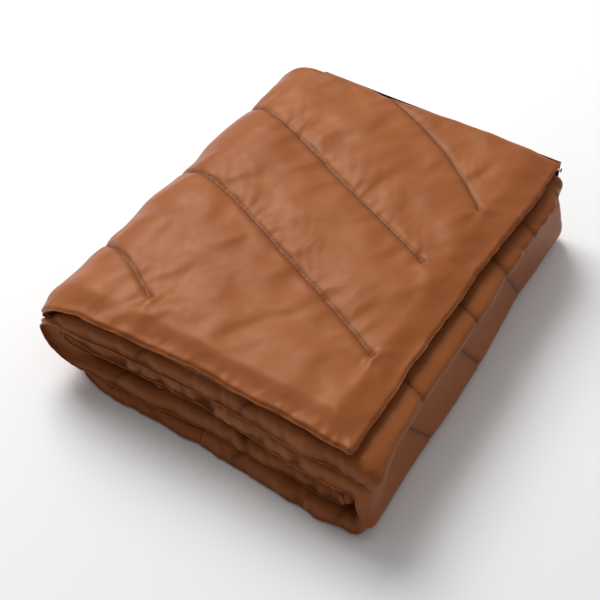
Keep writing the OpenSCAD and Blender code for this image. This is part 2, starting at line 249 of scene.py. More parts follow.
def settle(p):
    """The lean of the whole stack as it lies. The fold's shoulder is pushed out and its foot is drawn in.
    The wrapped side leans in over its foot, and its far top corner is pulled in."""
    x, y, z = p[..., 0], p[..., 1], p[..., 2]
    at_fold = smooth((-0.205 - x) / 0.06)
    at_near = smooth((-0.24 - y) / 0.08)
    shoulder_out = 0.013 * (0.25 + 0.75 * smooth((0.12 - y) / 0.3)) + 0.005 * at_near
    shoulder_out = shoulder_out * bump(z, 0.130, 0.042)
    foot_in = 0.009 * (1 - at_near) * bump(z, 0.022, 0.030)
    far_in = 0.008 * smooth((y - 0.02) / 0.25) * smooth((z - 0.03) / 0.05)
    at_wrap = smooth((x - 0.20) / 0.08)
    off_corner = 1 - smooth((-0.26 - y) / 0.08)
    face_in = 0.017 * off_corner * smooth((z - 0.01) / 0.09) * (1 - smooth((z - 0.118) / 0.032))
    foot_out = 0.010 * bump(z, 0.016, 0.032) * (1 - 1.2 * smooth((y + 0.05) / 0.25))
    corner_in = 0.013 * bump(z, 0.135, 0.028) * smooth((y - 0.24) / 0.1)
    x = x - at_fold * (shoulder_out - foot_in - far_in) + at_wrap * (foot_out - face_in - corner_in)
    return np.stack([x, y, above_floor(z)], -1)


# ---------------------------------------------------------------- a quilt that follows a fold line


class Quilt:
    """A flat padded strip and the folded line that it follows. s runs along the line, y across it,
    and n is the height above the line on its outer side."""

    def __init__(self, name, line, near, far, seed):
        line = np.asarray(line, float)
        keep = np.r_[True, np.linalg.norm(np.diff(line, axis=0), axis=1) > 1e-6]
        line = line[keep]
        run = np.r_[0, np.cumsum(np.linalg.norm(np.diff(line, axis=0), axis=1))]
        even = np.linspace(0, run[-1], int(run[-1] / 0.001) + 1)
        x, z = np.interp(even, run, line[:, 0]), np.interp(even, run, line[:, 1])
        tx, tz = np.gradient(x, even), np.gradient(z, even)
        kernel = np.hanning(9) / np.hanning(9).sum()
        tx = np.convolve(np.pad(tx, 4, mode="edge"), kernel, "valid")
        tz = np.convolve(np.pad(tz, 4, mode="edge"), kernel, "valid")
        size = np.hypot(tx, tz)
        self.name, self.run, self.length = name, even, run[-1]
        self.x, self.z, self.tx, self.tz = x, z, tx / size, tz / size
        self.near, self.far, self.seed = near, far, seed
        self.lines = []

    def place(self, s, y, n):
        """Points in place, in metres."""
        c = np.clip(s, 0, self.length)
        x, z = np.interp(c, self.run, self.x), np.interp(c, self.run, self.z)
        tx, tz = np.interp(c, self.run, self.tx), np.interp(c, self.run, self.tz)
        over = s - c
        x, z = x + tx * over, z + tz * over
        return np.stack([x + n * tz, y, z - n * tx], -1)

    def at(self, x, z):
        """The run s of the point of the line nearest to (x, z)."""
        return float(self.run[np.argmin((self.x - x) ** 2 + (self.z - z) ** 2)])

    def seam_field(self, s, y):
        """Distance to the nearest stitched channel, the run along it, and how far past its end."""
        best = np.full(np.shape(s), 1.0)
        along = np.zeros(np.shape(s))
        side = np.zeros(np.shape(s))
        line_spacing = 3.7
        for index, line in enumerate(self.lines):
            gone = index * line_spacing
            for (s0, y0), (s1, y1) in zip(line[:-1], line[1:]):
                ds, dy = s1 - s0, y1 - y0
                size = math.hypot(ds, dy)
                t = np.clip(((s - s0) * ds + (y - y0) * dy) / size ** 2, 0, 1)
                d = np.hypot(s - s0 - t * ds, y - y0 - t * dy)
                cross = ((s - s0) * dy - (y - y0) * ds) / size
                closer = d < best
                best = np.where(closer, d, best)
                along = np.where(closer, gone + t * size, along)
                side = np.where(closer, np.sign(cross), side)
                gone += size
        return best, along, side


def curve_through(points, step=0.01):
    """A smooth polyline through a few points."""
    points = np.asarray(points, float)
    if len(points) < 3:
        return [tuple(p) for p in points]
    run = np.r_[0, np.cumsum(np.linalg.norm(np.diff(points, axis=0), axis=1))]
    slopes = np.gradient(points, run, axis=0)
    out = []
    for i in range(len(points) - 1):
        size = run[i + 1] - run[i]
        for t in np.linspace(0, 1, max(2, int(size / step)), endpoint=False):
            h = ((1 + 2 * t) * (1 - t) ** 2, t * (1 - t) ** 2, t * t * (3 - 2 * t), t * t * (t - 1))
            out.append(tuple(h[0] * points[i] + h[1] * size * slopes[i]
                             + h[2] * points[i + 1] + h[3] * size * slopes[i + 1]))
    out.append(tuple(points[-1]))
    return out


def fold_lines():
    """The folded lines of the three quilts, outer side to the right of travel."""
    reach = HEAD_Z - AXIS_Z
    head = np.concatenate([
        [(HEAD_END_X, HEAD_Z)], [(FOLD_X, HEAD_Z)],
        arc((FOLD_X, AXIS_Z), reach, 90, 270), [(JOINT_X, BASE_Z)]])
    shoulder = (WRAP_X, FOOT_Z + HALF - WRAP_CORNER)
    over = HEAD_LOW_Z - shoulder[1]
    inner_reach = HEAD_LOW_Z - AXIS_Z
    head_low = np.concatenate([
        arc(shoulder, over, 33, 90), [(FOLD_X, HEAD_LOW_Z)],
        arc((FOLD_X, AXIS_Z), inner_reach, 90, 270), [(JOINT_X + 0.002, BASE_HIGH_Z)]])
    bend = WRAP_CORNER - HALF
    foot_axis = (FOOT_Z + FOOT_LOW_Z) / 2
    inner_axis = (FOOT_LOW_Z + BASE_HIGH_Z) / 2
    base = np.concatenate([
        [(JOINT_X, BASE_Z)], arc((WRAP_X, BASE_Z + bend), bend, -90, 0),
        arc((WRAP_X, FOOT_Z - bend), bend, 0, 90),
        arc((FOOT_X, foot_axis), FOOT_Z - foot_axis, 90, 270, 4),
        arc((INNER_WRAP_X, inner_axis), FOOT_LOW_Z - inner_axis, 90, -90, 4),
        [(JOINT_X - 0.002, BASE_HIGH_Z)]])
    return head, head_low, base


# ---------------------------------------------------------------- building the quilt meshes


INNER_RELIEF = 0.6  # share of the relief on the side that faces its neighbour


class Shape:
    """How one quilt is filled, edged and gathered. Lists of pairs run along s: a place and a value.
    Thicknesses and leans are shares of half a layer. The rest are metres."""

    def __init__(self, **facts):
        self.edge_near = 0.022
        self.edge_far = 0.022
        self.edge_start = 0.024
        self.edge_end = 0.016
        self.lean_near = [(0, 0.1), (9, 0.1)]
        self.lean_start = 0.0
        self.taper_top = 0.0
        self.taper_under = 0.0
        self.taper_width = 0.050
        self.lip = 0.0013
        self.corner = 0.012
        self.near_line = [(0, 0), (9, 0)]
        self.far_line = [(0, 0), (9, 0)]
        self.near_soft = None
        self.thin = [(0, 1), (9, 1)]
        self.slim = [(0, 1), (9, 1)]
        self.inner = [(0, 1), (9, 1)]
        self.pucker = 0.0008
        self.gather = [(0, 0.0008), (9, 0.0008)]
        self.start_in = 0.0
        self.start_joined = False
        self.tucks = ()
        self.edge_wander = 1.0
        self.depth = 1.0
        self.droop = None
        self.__dict__.update(facts)


def table_of(pairs, s):
    """Values along s, straight between the listed pairs."""
    run, value = zip(*sorted(pairs))
    return np.interp(s, run, value)


def round_corner(a, b, radius):
    """Pull points within radius of a square corner onto a rounded one. a and b are the distances
    from the two edges; the result is how far to move along each."""
    u, v = np.clip(1 - a / radius, 0, 1), np.clip(1 - b / radius, 0, 1)
    return radius * (u - u * np.sqrt(1 - v * v / 2)), radius * (v - v * np.sqrt(1 - u * u / 2))


def relief(quilt, shape, s, y, settings, outer):
    """Height of the cover over the plain padded shape: channels, gathers and soft wrinkles."""
    dist, along, side = quilt.seam_field(s, y)
    seed = quilt.seed + (0 if outer else 50)
    big, mid, fine = Drift(seed), Drift(seed + 1), Drift(seed + 2)
    grid = Drift(seed + 3)
    # The stitched channel pulls the cover in, and the wadding swells between channels.
    valley = 0.56 * np.exp(-dist / 0.0090) + 0.44 * np.exp(-(dist / 0.0026) ** 2)
    height = -shape.depth * settings.groove * valley
    height += shape.depth * settings.puff * smooth(dist / 0.085)
    # Ripples beside the channel, stronger on one side of it.
    strength = 0.55 + 0.45 * side
    phase = along / 0.031 + 1.1 * mid(along / 0.06, dist / 0.05 + 9) + 0.9 * dist / 0.03
    wave = np.sin(2 * math.pi * phase) + 0.45 * np.sin(2 * math.pi * phase * 2.3 + 1.7)
    patch = 0.5 + 0.5 * grid(along / 0.09, side * 3 + 5)
    ripples = 0.45 * settings.ripple * strength * patch * wave
    height += ripples * np.exp(-dist / 0.034) * smooth(dist / 0.004)
    # Slack and slanting wrinkles that take no notice of the seams.
    height += 0.0021 * big(s / 0.155, y / 0.125) + 0.0010 * mid(s / 0.062 + 3, y / 0.055)
    slant = (s * 0.84 + y * 0.54), (y * 0.84 - s * 0.54)
    height += 0.0011 * fine(slant[0] / 0.030, slant[1] / 0.115) * (0.5 + 0.5 * big(s / 0.2 + 7, y / 0.2))
    return height


def gathers(seed, along, inward, length, spacing, height, crisp=False):
    """Short folds that run in from a sewn edge, at uneven spacings. Crisp ones are narrower."""
    rng = np.random.default_rng(seed)
    total = np.zeros(np.shape(along))
    count = int(length / spacing)
    for _ in range(count):
        centre = rng.uniform(0, length)
        width, reach = rng.uniform(0.0035, 0.0105), rng.uniform(0.012, 0.042)
        if crisp:
            width, reach = width * 0.42, reach * 0.55
        rise, skew = height * rng.uniform(-1.3, 1.0), rng.uniform(-0.7, 0.7)
        offset = (along - centre - skew * inward) / width
        close = np.abs(offset) < 3
        fold = np.exp(-np.abs(offset[close]) ** 1.25 - (inward[close] / reach) ** 1.5)
        total[close] += rise * fold
    return total


def tucks(shape, s, y):
    """Folds that fan out from where a row of quilting stops."""
    total = np.zeros(np.shape(s))
    for k, ((s0, y0), (s1, y1)) in enumerate(shape.tucks):
        rng = np.random.default_rng(900 + k)
        heading = math.atan2(y1 - y0, s1 - s0)
        for turn in (-1.15, -0.45, 0.30, 1.05):
            angle = heading + turn + rng.uniform(-0.2, 0.2)
            ahead = (s - s1) * math.cos(angle) + (y - y1) * math.sin(angle)
            aside = (y - y1) * math.cos(angle) - (s - s1) * math.sin(angle)
            reach, width = rng.uniform(0.045, 0.085), rng.uniform(0.006, 0.010)
            aside = aside + 0.10 * ahead * np.sin(ahead / 0.03 + k)
            spread = width * (1 + np.clip(ahead, 0, 1) / 0.06)
            rise = rng.uniform(0.0022, 0.0040) * smooth(ahead / 0.008) * np.exp(-(ahead / reach) ** 2)
            total += rise * np.exp(-(aside / spread) ** 2) * (ahead > 0)
    return total


def sewn_folds(quilt, shape, s, y, rim, loose, outer):
    """Gathers that run in from the near, far and start edges: all of them, and the near ones alone."""
    from_start, _, from_near, from_far = rim
    seed = quilt.seed + (0 if outer else 500)
    tight = table_of(shape.gather, s) * loose
    near = gathers(seed, s, from_near, quilt.length, 0.011, 1.0) * tight
    near += gathers(seed + 5, s, from_near, quilt.length, 0.009, 0.5, True) * tight
    far = gathers(seed + 1, s, from_far, quilt.length, 0.017, 0.6) * tight
    start = gathers(seed + 2, y, from_start, quilt.far - quilt.near, 0.016, 1.0) * tight
    return near + far + start, near


def drawn_edges(quilt, shape, s, y, rim, loose):
    """Where points of the flat cloth go once its edges wander and its corners are rounded."""
    from_start, _, from_near, from_far = rim
    wave = Drift(quilt.seed + 20)
    near_move = table_of(shape.near_line, s) + loose * shape.edge_wander * (
        0.0020 * wave(s / 0.045, 2.0) + 0.0011 * wave(s / 0.017, 6.0))
    far_move = 0.0015 * loose * wave(s / 0.05, 12.0) + table_of(shape.far_line, s)
    start_move = loose * (0.0022 * wave(y / 0.060, 17.0) + 0.0010 * wave(y / 0.016, 21.0))
    flat_s = s + start_move * np.exp(-from_start / 0.03) \
        + shape.start_in * (1 - smooth(from_start / 0.12)) * (1 - smooth((y - 0.10) / 0.18))
    flat_y = y + near_move * (1 - smooth(from_near / 0.09)) + far_move * np.exp(-from_far / 0.03)
    for a, b, sign_s, sign_y in ((from_start, from_near, 1, 1), (from_start, from_far, 1, -1)):
        move_s, move_y = round_corner(a, b, shape.corner)
        flat_s, flat_y = flat_s + sign_s * move_s, flat_y + sign_y * move_y
    return flat_s, flat_y


def quilt_grid(quilt, shape, settings, flow=None):
    """The outer and inner skins of a quilt as two grids of points in place."""
    step = settings.mesh_step
    s = graded(0, quilt.length, step, shape.edge_start, 9)
    y = graded(quilt.near, quilt.far, step, shape.edge_near, 9)
    s, y = np.meshgrid(s, y, indexing="ij")
    from_start, from_end = s, quilt.length - s
    from_near, from_far = y - quilt.near, quilt.far - y
    rim = (from_start, from_end, from_near, from_far)
    lip = 0.002
    # Shares from 0 on an edge to 1 where the padding has its full thickness.
    start_lip = 0.0 if shape.start_joined else lip
    f_start = rounded((from_start - start_lip) / (shape.edge_start - start_lip))
    loose = smooth(from_end / 0.045)
    if shape.start_joined:
        loose = loose * smooth(from_start / 0.045)
    f_end = rounded(from_end / shape.edge_end)
    near_soft = shape.edge_near if shape.near_soft is None else table_of(shape.near_soft, s)
    f_near = rounded((from_near - lip) / (near_soft - lip))
    f_far = rounded((from_far - lip) / (shape.edge_far - lip))
    f = f_start * f_end * f_near * f_far
    half = HALF * table_of(shape.thin, s)
    inner_half = HALF * table_of(shape.inner, s)
    away = np.minimum(from_start, from_near)
    slim = (1 - smooth(away / shape.taper_width)) * table_of(shape.slim, s)
    half = half * (1 - shape.taper_top * slim)
    inner_half = inner_half * (1 - shape.taper_under * slim)
    lean = table_of(shape.lean_near, s) * (1 - f_near) + shape.lean_start * (1 - f_start) * f_near
    middle_up = HALF * lean
    small_wave = Drift(quilt.seed + 21)
    skins, bulge = [], []
    for outer in (True, False):
        height = relief(quilt, shape, s, y, settings, outer)
        if outer:
            height = height + tucks(shape, s, y)
        pull = np.minimum(1, f * 1.4)
        if outer:
            n = middle_up + (half - middle_up) * f + height * pull
        else:
            hollow = np.clip(height, -0.01, 0.0008) * INNER_RELIEF
            n = middle_up - (inner_half + middle_up) * f - hollow * pull
        edge = np.exp(-from_near / 0.014) + np.exp(-from_start / 0.014) + np.exp(-from_far / 0.014)
        run = np.where(from_start < from_near, y, s)
        gather = small_wave(run / 0.0105, 3.0 + (0 if outer else 7)) + 0.8 * small_wave(run / 0.023, 8.0)
        folds, near_folds = sewn_folds(quilt, shape, s, y, rim, loose, outer)
        n = n + (folds if outer else -folds) * np.minimum(1, f * 2.5)
        bulge.append(near_folds * np.exp(-from_near / 0.022) * np.minimum(1, from_near / 0.003))
        n = n + shape.pucker * gather * np.minimum(edge, 1) * np.where(f > 0.02, 1, 0.5)
        skins.append(n)
    # The two skins meet on the rim and never cross.
    from_rim = np.minimum(np.minimum(from_start, from_end), np.minimum(from_near, from_far))
    centre = (skins[0] + skins[1]) / 2
    least = 2 * shape.lip * smooth(from_rim / 0.0016)
    thick = np.where(from_rim <= 1e-9, 0, np.maximum(skins[0] - skins[1], least))
    skins = [centre + thick / 2, centre - thick / 2]

    flat_s, flat_y = drawn_edges(quilt, shape, s, y, rim, loose)
    if flow is not None:
        add_s, add_y, add_n = flow(s, y)
        flat_s, flat_y = flat_s + add_s * f, flat_y + add_y * f
        skins[0] = skins[0] + add_n * f
    placed = []
    for n, out in zip(skins, bulge):
        p = quilt.place(flat_s, flat_y - 0.8 * out, n)
        if shape.droop is not None:
            p = shape.droop(p)
        placed.append(settle(p))
    return s, y, placed


def quilt_mesh(quilt, shape, settings, lining_side, flow=None):
    """One closed padded piece, with its cloth runs kept as a UV layer."""
    s, y, (top, bottom) = quilt_grid(quilt, shape, settings, flow)
    rows, cols = s.shape
    index_top = np.arange(rows * cols).reshape(rows, cols)
    index_bottom = index_top.copy()
    inside = np.zeros((rows, cols), bool)
    inside[1:-1, 1:-1] = True
    index_bottom[inside] = rows * cols + np.arange(inside.sum())
    points = np.concatenate([top.reshape(-1, 3), bottom[inside]])

    def quads(index, flip):
        q = np.stack([index[:-1, :-1], index[1:, :-1], index[1:, 1:], index[:-1, 1:]], -1).reshape(-1, 4)
        return q[:, ::-1] if flip else q

    faces = np.concatenate([quads(index_top, True), quads(index_bottom, False)])
    mesh = bpy.data.meshes.new(quilt.name)
    mesh.from_pydata(points.tolist(), [], faces.tolist())
    mesh.polygons.foreach_set("use_smooth", np.ones(len(faces), bool))
    corner = np.concatenate([np.stack([s, y], -1).reshape(-1, 2), np.stack([s, y], -1)[inside]])
    layer = mesh.uv_layers.new(name="cloth_run")
    layer.data.foreach_set("uv", corner[faces.reshape(-1)].astype(np.float32).ravel())
    facing = 0.026
    from_rim = np.minimum(np.minimum(s, quilt.length - s), np.minimum(y - quilt.near, quilt.far - y))
    is_lining = (from_rim[:-1, :-1] > facing).reshape(-1)
    marks = np.zeros(len(faces), np.int32)
    count = len(faces) // 2
    if lining_side == "inner":
        marks[count:][is_lining] = 1
    elif lining_side == "outer":
        marks[:count][is_lining] = 1
    mesh.polygons.foreach_set("material_index", marks)
    # Painted shade mask: 1 on a stitched channel, fading out within a few millimetres; the cover's finish
    # darkens the cloth there to stand in for the shade in the grooves.
    dist, _, _ = quilt.seam_field(s, y)
    seam = np.exp(-dist / 0.0045)
    seam = np.concatenate([seam.reshape(-1), seam[inside]])
    shade_and_crumple = mesh.attributes.new("seam_painted_shade", "FLOAT", "POINT")
    shade_and_crumple.data.foreach_set("value", seam.astype(np.float32))
    mesh.update()
    obj = bpy.data.objects.new(quilt.name, mesh)
    bpy.context.scene.collection.objects.link(obj)
    quilt.skin = (s[:, 0], y[0], top)
    return obj


def on_skin(quilt, s, y):
    """Points and normals on a quilt's finished outer skin, read from its grid."""
    rows, cols, skin = quilt.skin
    s, y = np.atleast_1d(np.asarray(s, float)), np.atleast_1d(np.asarray(y, float))

    def read(a, b):
        i = np.clip(np.searchsorted(rows, a) - 1, 0, len(rows) - 2)
        j = np.clip(np.searchsorted(cols, b) - 1, 0, len(cols) - 2)
        u = ((a - rows[i]) / (rows[i + 1] - rows[i]))[:, None]
        v = ((b - cols[j]) / (cols[j + 1] - cols[j]))[:, None]
        return ((skin[i, j] * (1 - u) + skin[i + 1, j] * u) * (1 - v)
                + (skin[i, j + 1] * (1 - u) + skin[i + 1, j + 1] * u) * v)

    e = 0.002
    point = read(s, y)
    ds = read(s + e, y) - read(s - e, y)
    dy = read(s, y + e) - read(s, y - e)
    normal = np.cross(ds, dy)
    normal /= np.maximum(np.linalg.norm(normal, axis=1, keepdims=True), 1e-12)
    return point, -normal


def resampled(points, pitch):
    """Points evenly spaced along a polyline, and how many there are."""
    points = np.asarray(points, float)
    run = np.r_[0, np.cumsum(np.linalg.norm(np.diff(points, axis=0), axis=1))]
    count = max(1, int(run[-1] / pitch))
    at = (np.arange(count) + 0.5) * pitch
    return np.stack([np.interp(at, run, points[:, k]) for k in range(points.shape[1])], 1), count


def ring_faces(base, rings, sides):
    """Faces of a swept shape: its rings joined one to the next, and both ends closed."""
    faces = []
    for r in range(rings - 1):
        for q in range(sides):
            a, b = base + r * sides + q, base + r * sides + (q + 1) % sides
            faces.append((a, b, b + sides, a + sides))
    faces.append(tuple(base + q for q in reversed(range(sides))))
    faces.append(tuple(base + (rings - 1) * sides + q for q in range(sides)))
    return faces


def stitch_mesh(name, quilt, settings):
    """Rows of thread stitches: each one a short rounded bead that dips into the cloth at both ends."""
    sides, rings = 6, 5
    verts, faces = [], []
    pitch = settings.stitch_pitch
    edge = 0.004
    for line in quilt.lines:
        mids, count = resampled(line, pitch)
        if count < 2:
            continue
        heads = mids[1:] - mids[:-1]
        heads = np.concatenate([heads, heads[-1:]])
        heads /= np.linalg.norm(heads, axis=1, keepdims=True)
        on_cloth = ((mids[:, 0] > edge) & (mids[:, 0] < quilt.length - edge)
                    & (mids[:, 1] > quilt.near + edge) & (mids[:, 1] < quilt.far - 1.5 * edge))
        mids, heads = mids[on_cloth], heads[on_cloth]
        count = len(mids)
        reach = pitch * 0.40
        first, _ = on_skin(quilt, *(mids - heads * reach).T)
        last, _ = on_skin(quilt, *(mids + heads * reach).T)
        _, normal = on_skin(quilt, *mids.T)
        axis = last - first
        size = np.linalg.norm(axis, axis=1, keepdims=True)
        axis /= np.maximum(size, 1e-9)
        cross = np.cross(axis, normal)
        for k in range(count):
            base = len(verts)
            for r in range(rings):
                t = r / (rings - 1)
                swell = math.sin(math.pi * (0.08 + 0.84 * t)) ** 0.6
                centre = first[k] * (1 - t) + last[k] * t + normal[k] * (
                    settings.stitch_width * (0.55 * math.sin(math.pi * t) - 0.15))
                for q in range(sides):
                    a = 2 * math.pi * q / sides
                    verts.append(centre + (cross[k] * math.cos(a) + normal[k] * math.sin(a) * 0.8)
                                 * settings.stitch_width * 0.5 * swell)
            faces += ring_faces(base, rings, sides)
    return new_mesh(name, verts, faces)


def new_mesh(name, verts, faces, smooth_faces=True):
    """A new object with a mesh of its own, linked to the scene."""
    mesh = bpy.data.meshes.new(name)
    mesh.from_pydata([tuple(map(float, v)) for v in verts], [], faces)
    if smooth_faces:
        mesh.polygons.foreach_set("use_smooth", np.ones(len(faces), bool))
    mesh.validate()
    mesh.update()
    obj = bpy.data.objects.new(name, mesh)
    bpy.context.scene.collection.objects.link(obj)
    return obj


def tube(points, ups, wide, tall, sides=8):
    """A closed ridge of elliptical section along points. ups are its short-axis directions."""
    points, ups = np.asarray(points, float), np.asarray(ups, float)
    ahead = np.gradient(points, axis=0)
    ahead /= np.maximum(np.linalg.norm(ahead, axis=1, keepdims=True), 1e-12)
    cross = np.cross(ahead, ups)
    cross /= np.maximum(np.linalg.norm(cross, axis=1, keepdims=True), 1e-12)
    ups = np.cross(cross, ahead)
    wide = np.broadcast_to(wide, len(points))
    tall = np.broadcast_to(tall, len(points))
    verts = []
    for k in range(len(points)):
        for q in range(sides):
            a = 2 * math.pi * q / sides
            offset = cross[k] * math.cos(a) * wide[k] / 2 + ups[k] * math.sin(a) * tall[k] / 2
            verts.append(points[k] + offset)
    return verts, ring_faces(0, len(points), sides)


# ---------------------------------------------------------------- finishes


def value_group(name, inputs, outputs):
    """A new shader node group with named sockets; returns it with its input and output nodes."""
    group = bpy.data.node_groups.new(name, "ShaderNodeTree")
    for label, kind, default in inputs:
        socket = group.interface.new_socket(name=label, in_out="INPUT", socket_type=kind)
        if default is not None:
            socket.default_value = default
    for label, kind in outputs:
        group.interface.new_socket(name=label, in_out="OUTPUT", socket_type=kind)
    start = group.nodes.new("NodeGroupInput")
    end = group.nodes.new("NodeGroupOutput")
    return group, start, end


def maths(tree, operation, a, b=None, c=None):
    """A maths node. Each input is a number or a socket."""
    node = tree.nodes.new("ShaderNodeMath")
    node.operation = operation
    for index, item in enumerate((a, b, c)):
        if item is None:
            continue
        if isinstance(item, (int, float)):
            node.inputs[index].default_value = item
        else:
            tree.links.new(item, node.inputs[index])
    return node.outputs[0]


def noise(tree, vector, scale, detail=3.0, rough=0.5):
    """A noise texture, as a value."""
    node = tree.nodes.new("ShaderNodeTexNoise")
    node.inputs["Scale"].default_value = scale
    node.inputs["Detail"].default_value = detail
    node.inputs["Roughness"].default_value = rough
    tree.links.new(vector, node.inputs["Vector"])
    return node.outputs["Fac"]


def scaled(tree, vector, size):
    """A vector drawn out or pressed together along its axes."""
    node = tree.nodes.new("ShaderNodeMapping")
    node.inputs["Scale"].default_value = size
    tree.links.new(vector, node.inputs["Vector"])
    return node.outputs["Vector"]


def weave_group():
    """Over-and-under threads of a plain weave, with slubs."""
    group, start, end = value_group(
        "Plain Weave",
        [("Vector", "NodeSocketVector", None), ("Threads", "NodeSocketFloat", 2000.0)],
        [("Height", "NodeSocketFloat"), ("Tone", "NodeSocketFloat")])
    split = group.nodes.new("ShaderNodeSeparateXYZ")
    group.links.new(start.outputs["Vector"], split.inputs[0])
    turn = maths(group, "MULTIPLY", start.outputs["Threads"], math.pi)
    warp = maths(group, "SINE", maths(group, "MULTIPLY", split.outputs["X"], turn))
    weft = maths(group, "SINE", maths(group, "MULTIPLY", split.outputs["Y"], turn))
    knit = maths(group, "MULTIPLY", warp, weft)
    slub = noise(group, scaled(group, start.outputs["Vector"], (40.0, 900.0, 1.0)), 1.0, 2.0)
    height = maths(group, "ADD", maths(group, "MULTIPLY_ADD", knit, 0.35, 0.5),
                   maths(group, "MULTIPLY", slub, 0.3))
    group.links.new(height, end.inputs["Height"])
    group.links.new(slub, end.inputs["Tone"])
    return group


def mottle_group():
    """Broad cloudy variation with finer flecks."""
    group, start, end = value_group(
        "Cloth Mottle",
        [("Vector", "NodeSocketVector", None), ("Spread", "NodeSocketFloat", 7.0)],
        [("Tone", "NodeSocketFloat"), ("Fleck", "NodeSocketFloat"), ("Crumple", "NodeSocketFloat")])
    broad = group.nodes.new("ShaderNodeTexNoise")
    broad.inputs["Detail"].default_value = 4.0
    group.links.new(start.outputs["Vector"], broad.inputs["Vector"])
    group.links.new(start.outputs["Spread"], broad.inputs["Scale"])
    group.links.new(broad.outputs["Fac"], end.inputs["Tone"])
    group.links.new(noise(group, start.outputs["Vector"], 420.0, 2.0), end.inputs["Fleck"])
    crumple = noise(group, scaled(group, start.outputs["Vector"], (1.0, 0.62, 1.3)), 75.0, 5.0, 0.55)
    group.links.new(crumple, end.inputs["Crumple"])
    return group


def wear_group():
    """Rubbed and dulled patches for moulded and metal parts."""
    group, start, end = value_group(
        "Handling Wear",
        [("Vector", "NodeSocketVector", None), ("Size", "NodeSocketFloat", 260.0)],
        [("Rub", "NodeSocketFloat"), ("Scratch", "NodeSocketFloat")])
    rub = group.nodes.new("ShaderNodeTexNoise")
    rub.inputs["Detail"].default_value = 5.0
    group.links.new(start.outputs["Vector"], rub.inputs["Vector"])
    group.links.new(start.outputs["Size"], rub.inputs["Scale"])
    group.links.new(rub.outputs["Fac"], end.inputs["Rub"])
    scratch = noise(group, scaled(group, start.outputs["Vector"], (1.0, 9.0, 3.0)), 380.0, 3.0)
    group.links.new(scratch, end.inputs["Scratch"])
    return group


def shared(name, build):
    """A node group by name, built the first time it is asked for."""
    return bpy.data.node_groups.get(name) or build()


def fresh_material(name):
    """A new material, its node tree and its principled shader."""
    material = bpy.data.materials.new(name)
    material.use_nodes = True
    tree = material.node_tree
    shader = next(n for n in tree.nodes if n.type == "BSDF_PRINCIPLED")
    return material, tree, shader


def put_group(tree, group, vector, **values):
    """A node group placed in a tree, with its values set."""
    node = tree.nodes.new("ShaderNodeGroup")
    node.node_tree = group
    tree.links.new(vector, node.inputs["Vector"])
    for label, value in values.items():
        node.inputs[label].default_value = value
    return node


def mixed(tree, factor, low, high):
    """A mix of two colours or colour sockets."""
    node = tree.nodes.new("ShaderNodeMix")
    node.data_type = "RGBA"
    tree.links.new(factor, node.inputs[0])
    for socket, item in ((node.inputs[6], low), (node.inputs[7], high)):
        if isinstance(item, tuple):
            socket.default_value = item
        else:
            tree.links.new(item, socket)
    return node.outputs[2]


def toned(colour, gain, warm=1.0):
    """A colour made lighter or darker, and warmer or cooler."""
    return (min(colour[0] * gain * warm, 1), min(colour[1] * gain, 1), min(colour[2] * gain / warm, 1), 1)


def stretch(tree, value, low, high):
    """A value spread so that low gives 0 and high gives 1."""
    node = tree.nodes.new("ShaderNodeMapRange")
    node.inputs["From Min"].default_value = low
    node.inputs["From Max"].default_value = high
    tree.links.new(value, node.inputs["Value"])
    return node.outputs["Result"]


def bumps(tree, shader, layers):
    """Chain of Bump nodes: (height socket, strength, distance)."""
    last = None
    for height, strength, distance in layers:
        node = tree.nodes.new("ShaderNodeBump")
        node.inputs["Strength"].default_value = strength
        node.inputs["Distance"].default_value = distance
        tree.links.new(height, node.inputs["Height"])
        if last is not None:
            tree.links.new(last, node.inputs["Normal"])
        last = node.outputs["Normal"]
    tree.links.new(last, shader.inputs["Normal"])


WEAVE_DEPTH = 0.00018


def cloth_finish(name, colour, rough=0.43, sheen=0.03, threads=1800.0, crumple=0.0006, on_runs=True):
    """Woven cloth: weave, mottling, crumple and painted shade that darkens the stitched channels.
    on_runs lays the weave along the cloth's own runs, which only the quilts have."""
    material, tree, shader = fresh_material(name)
    coordinates = tree.nodes.new("ShaderNodeTexCoord")
    place = coordinates.outputs["Object"]
    if on_runs:
        runs = tree.nodes.new("ShaderNodeUVMap")
        runs.uv_map = "cloth_run"
        thread_place = runs.outputs["UV"]
    else:
        thread_place = place
    weave = put_group(tree, shared("Plain Weave", weave_group), thread_place, Threads=threads)
    mottle = put_group(tree, shared("Cloth Mottle", mottle_group), place, Spread=5.5)
    tone = stretch(tree, mottle.outputs["Tone"], 0.34, 0.68)
    body = mixed(tree, tone, toned(colour, 0.90, 1.05), toned(colour, 1.09, 0.975))
    fleck = stretch(tree, weave.outputs["Tone"], 0.2, 0.8)
    body = mixed(tree, maths(tree, "MULTIPLY", fleck, 0.16), body, toned(colour, 0.62))
    if on_runs:
        # Painted shade: the base colour is darkened and warmed along the stitched channels, where their
        # grooves fall in shade.
        shade_attribute = tree.nodes.new("ShaderNodeAttribute")
        shade_attribute.attribute_name = "seam_painted_shade"
        pressed = maths(tree, "MULTIPLY", shade_attribute.outputs["Fac"], 0.80)
        body = mixed(tree, pressed, body, toned(colour, 0.30, 1.25))
    tree.links.new(body, shader.inputs["Base Color"])
    shade_and_crumple = stretch(tree, mottle.outputs["Crumple"], 0.25, 0.8)
    tree.links.new(maths(tree, "MULTIPLY_ADD", shade_and_crumple, 0.12, rough - 0.06), shader.inputs["Roughness"])
    shader.inputs["Specular IOR Level"].default_value = 0.28
    shader.inputs["Specular Tint"].default_value = (1.0, 0.62, 0.38, 1.0)
    shader.inputs["Sheen Weight"].default_value = sheen
    shader.inputs["Sheen Roughness"].default_value = 0.42
    shader.inputs["Sheen Tint"].default_value = toned(colour, 1.6)
    bumps(tree, shader, [(mottle.outputs["Crumple"], 0.30, crumple),
                         (weave.outputs["Height"], 0.20, WEAVE_DEPTH)])
    return material


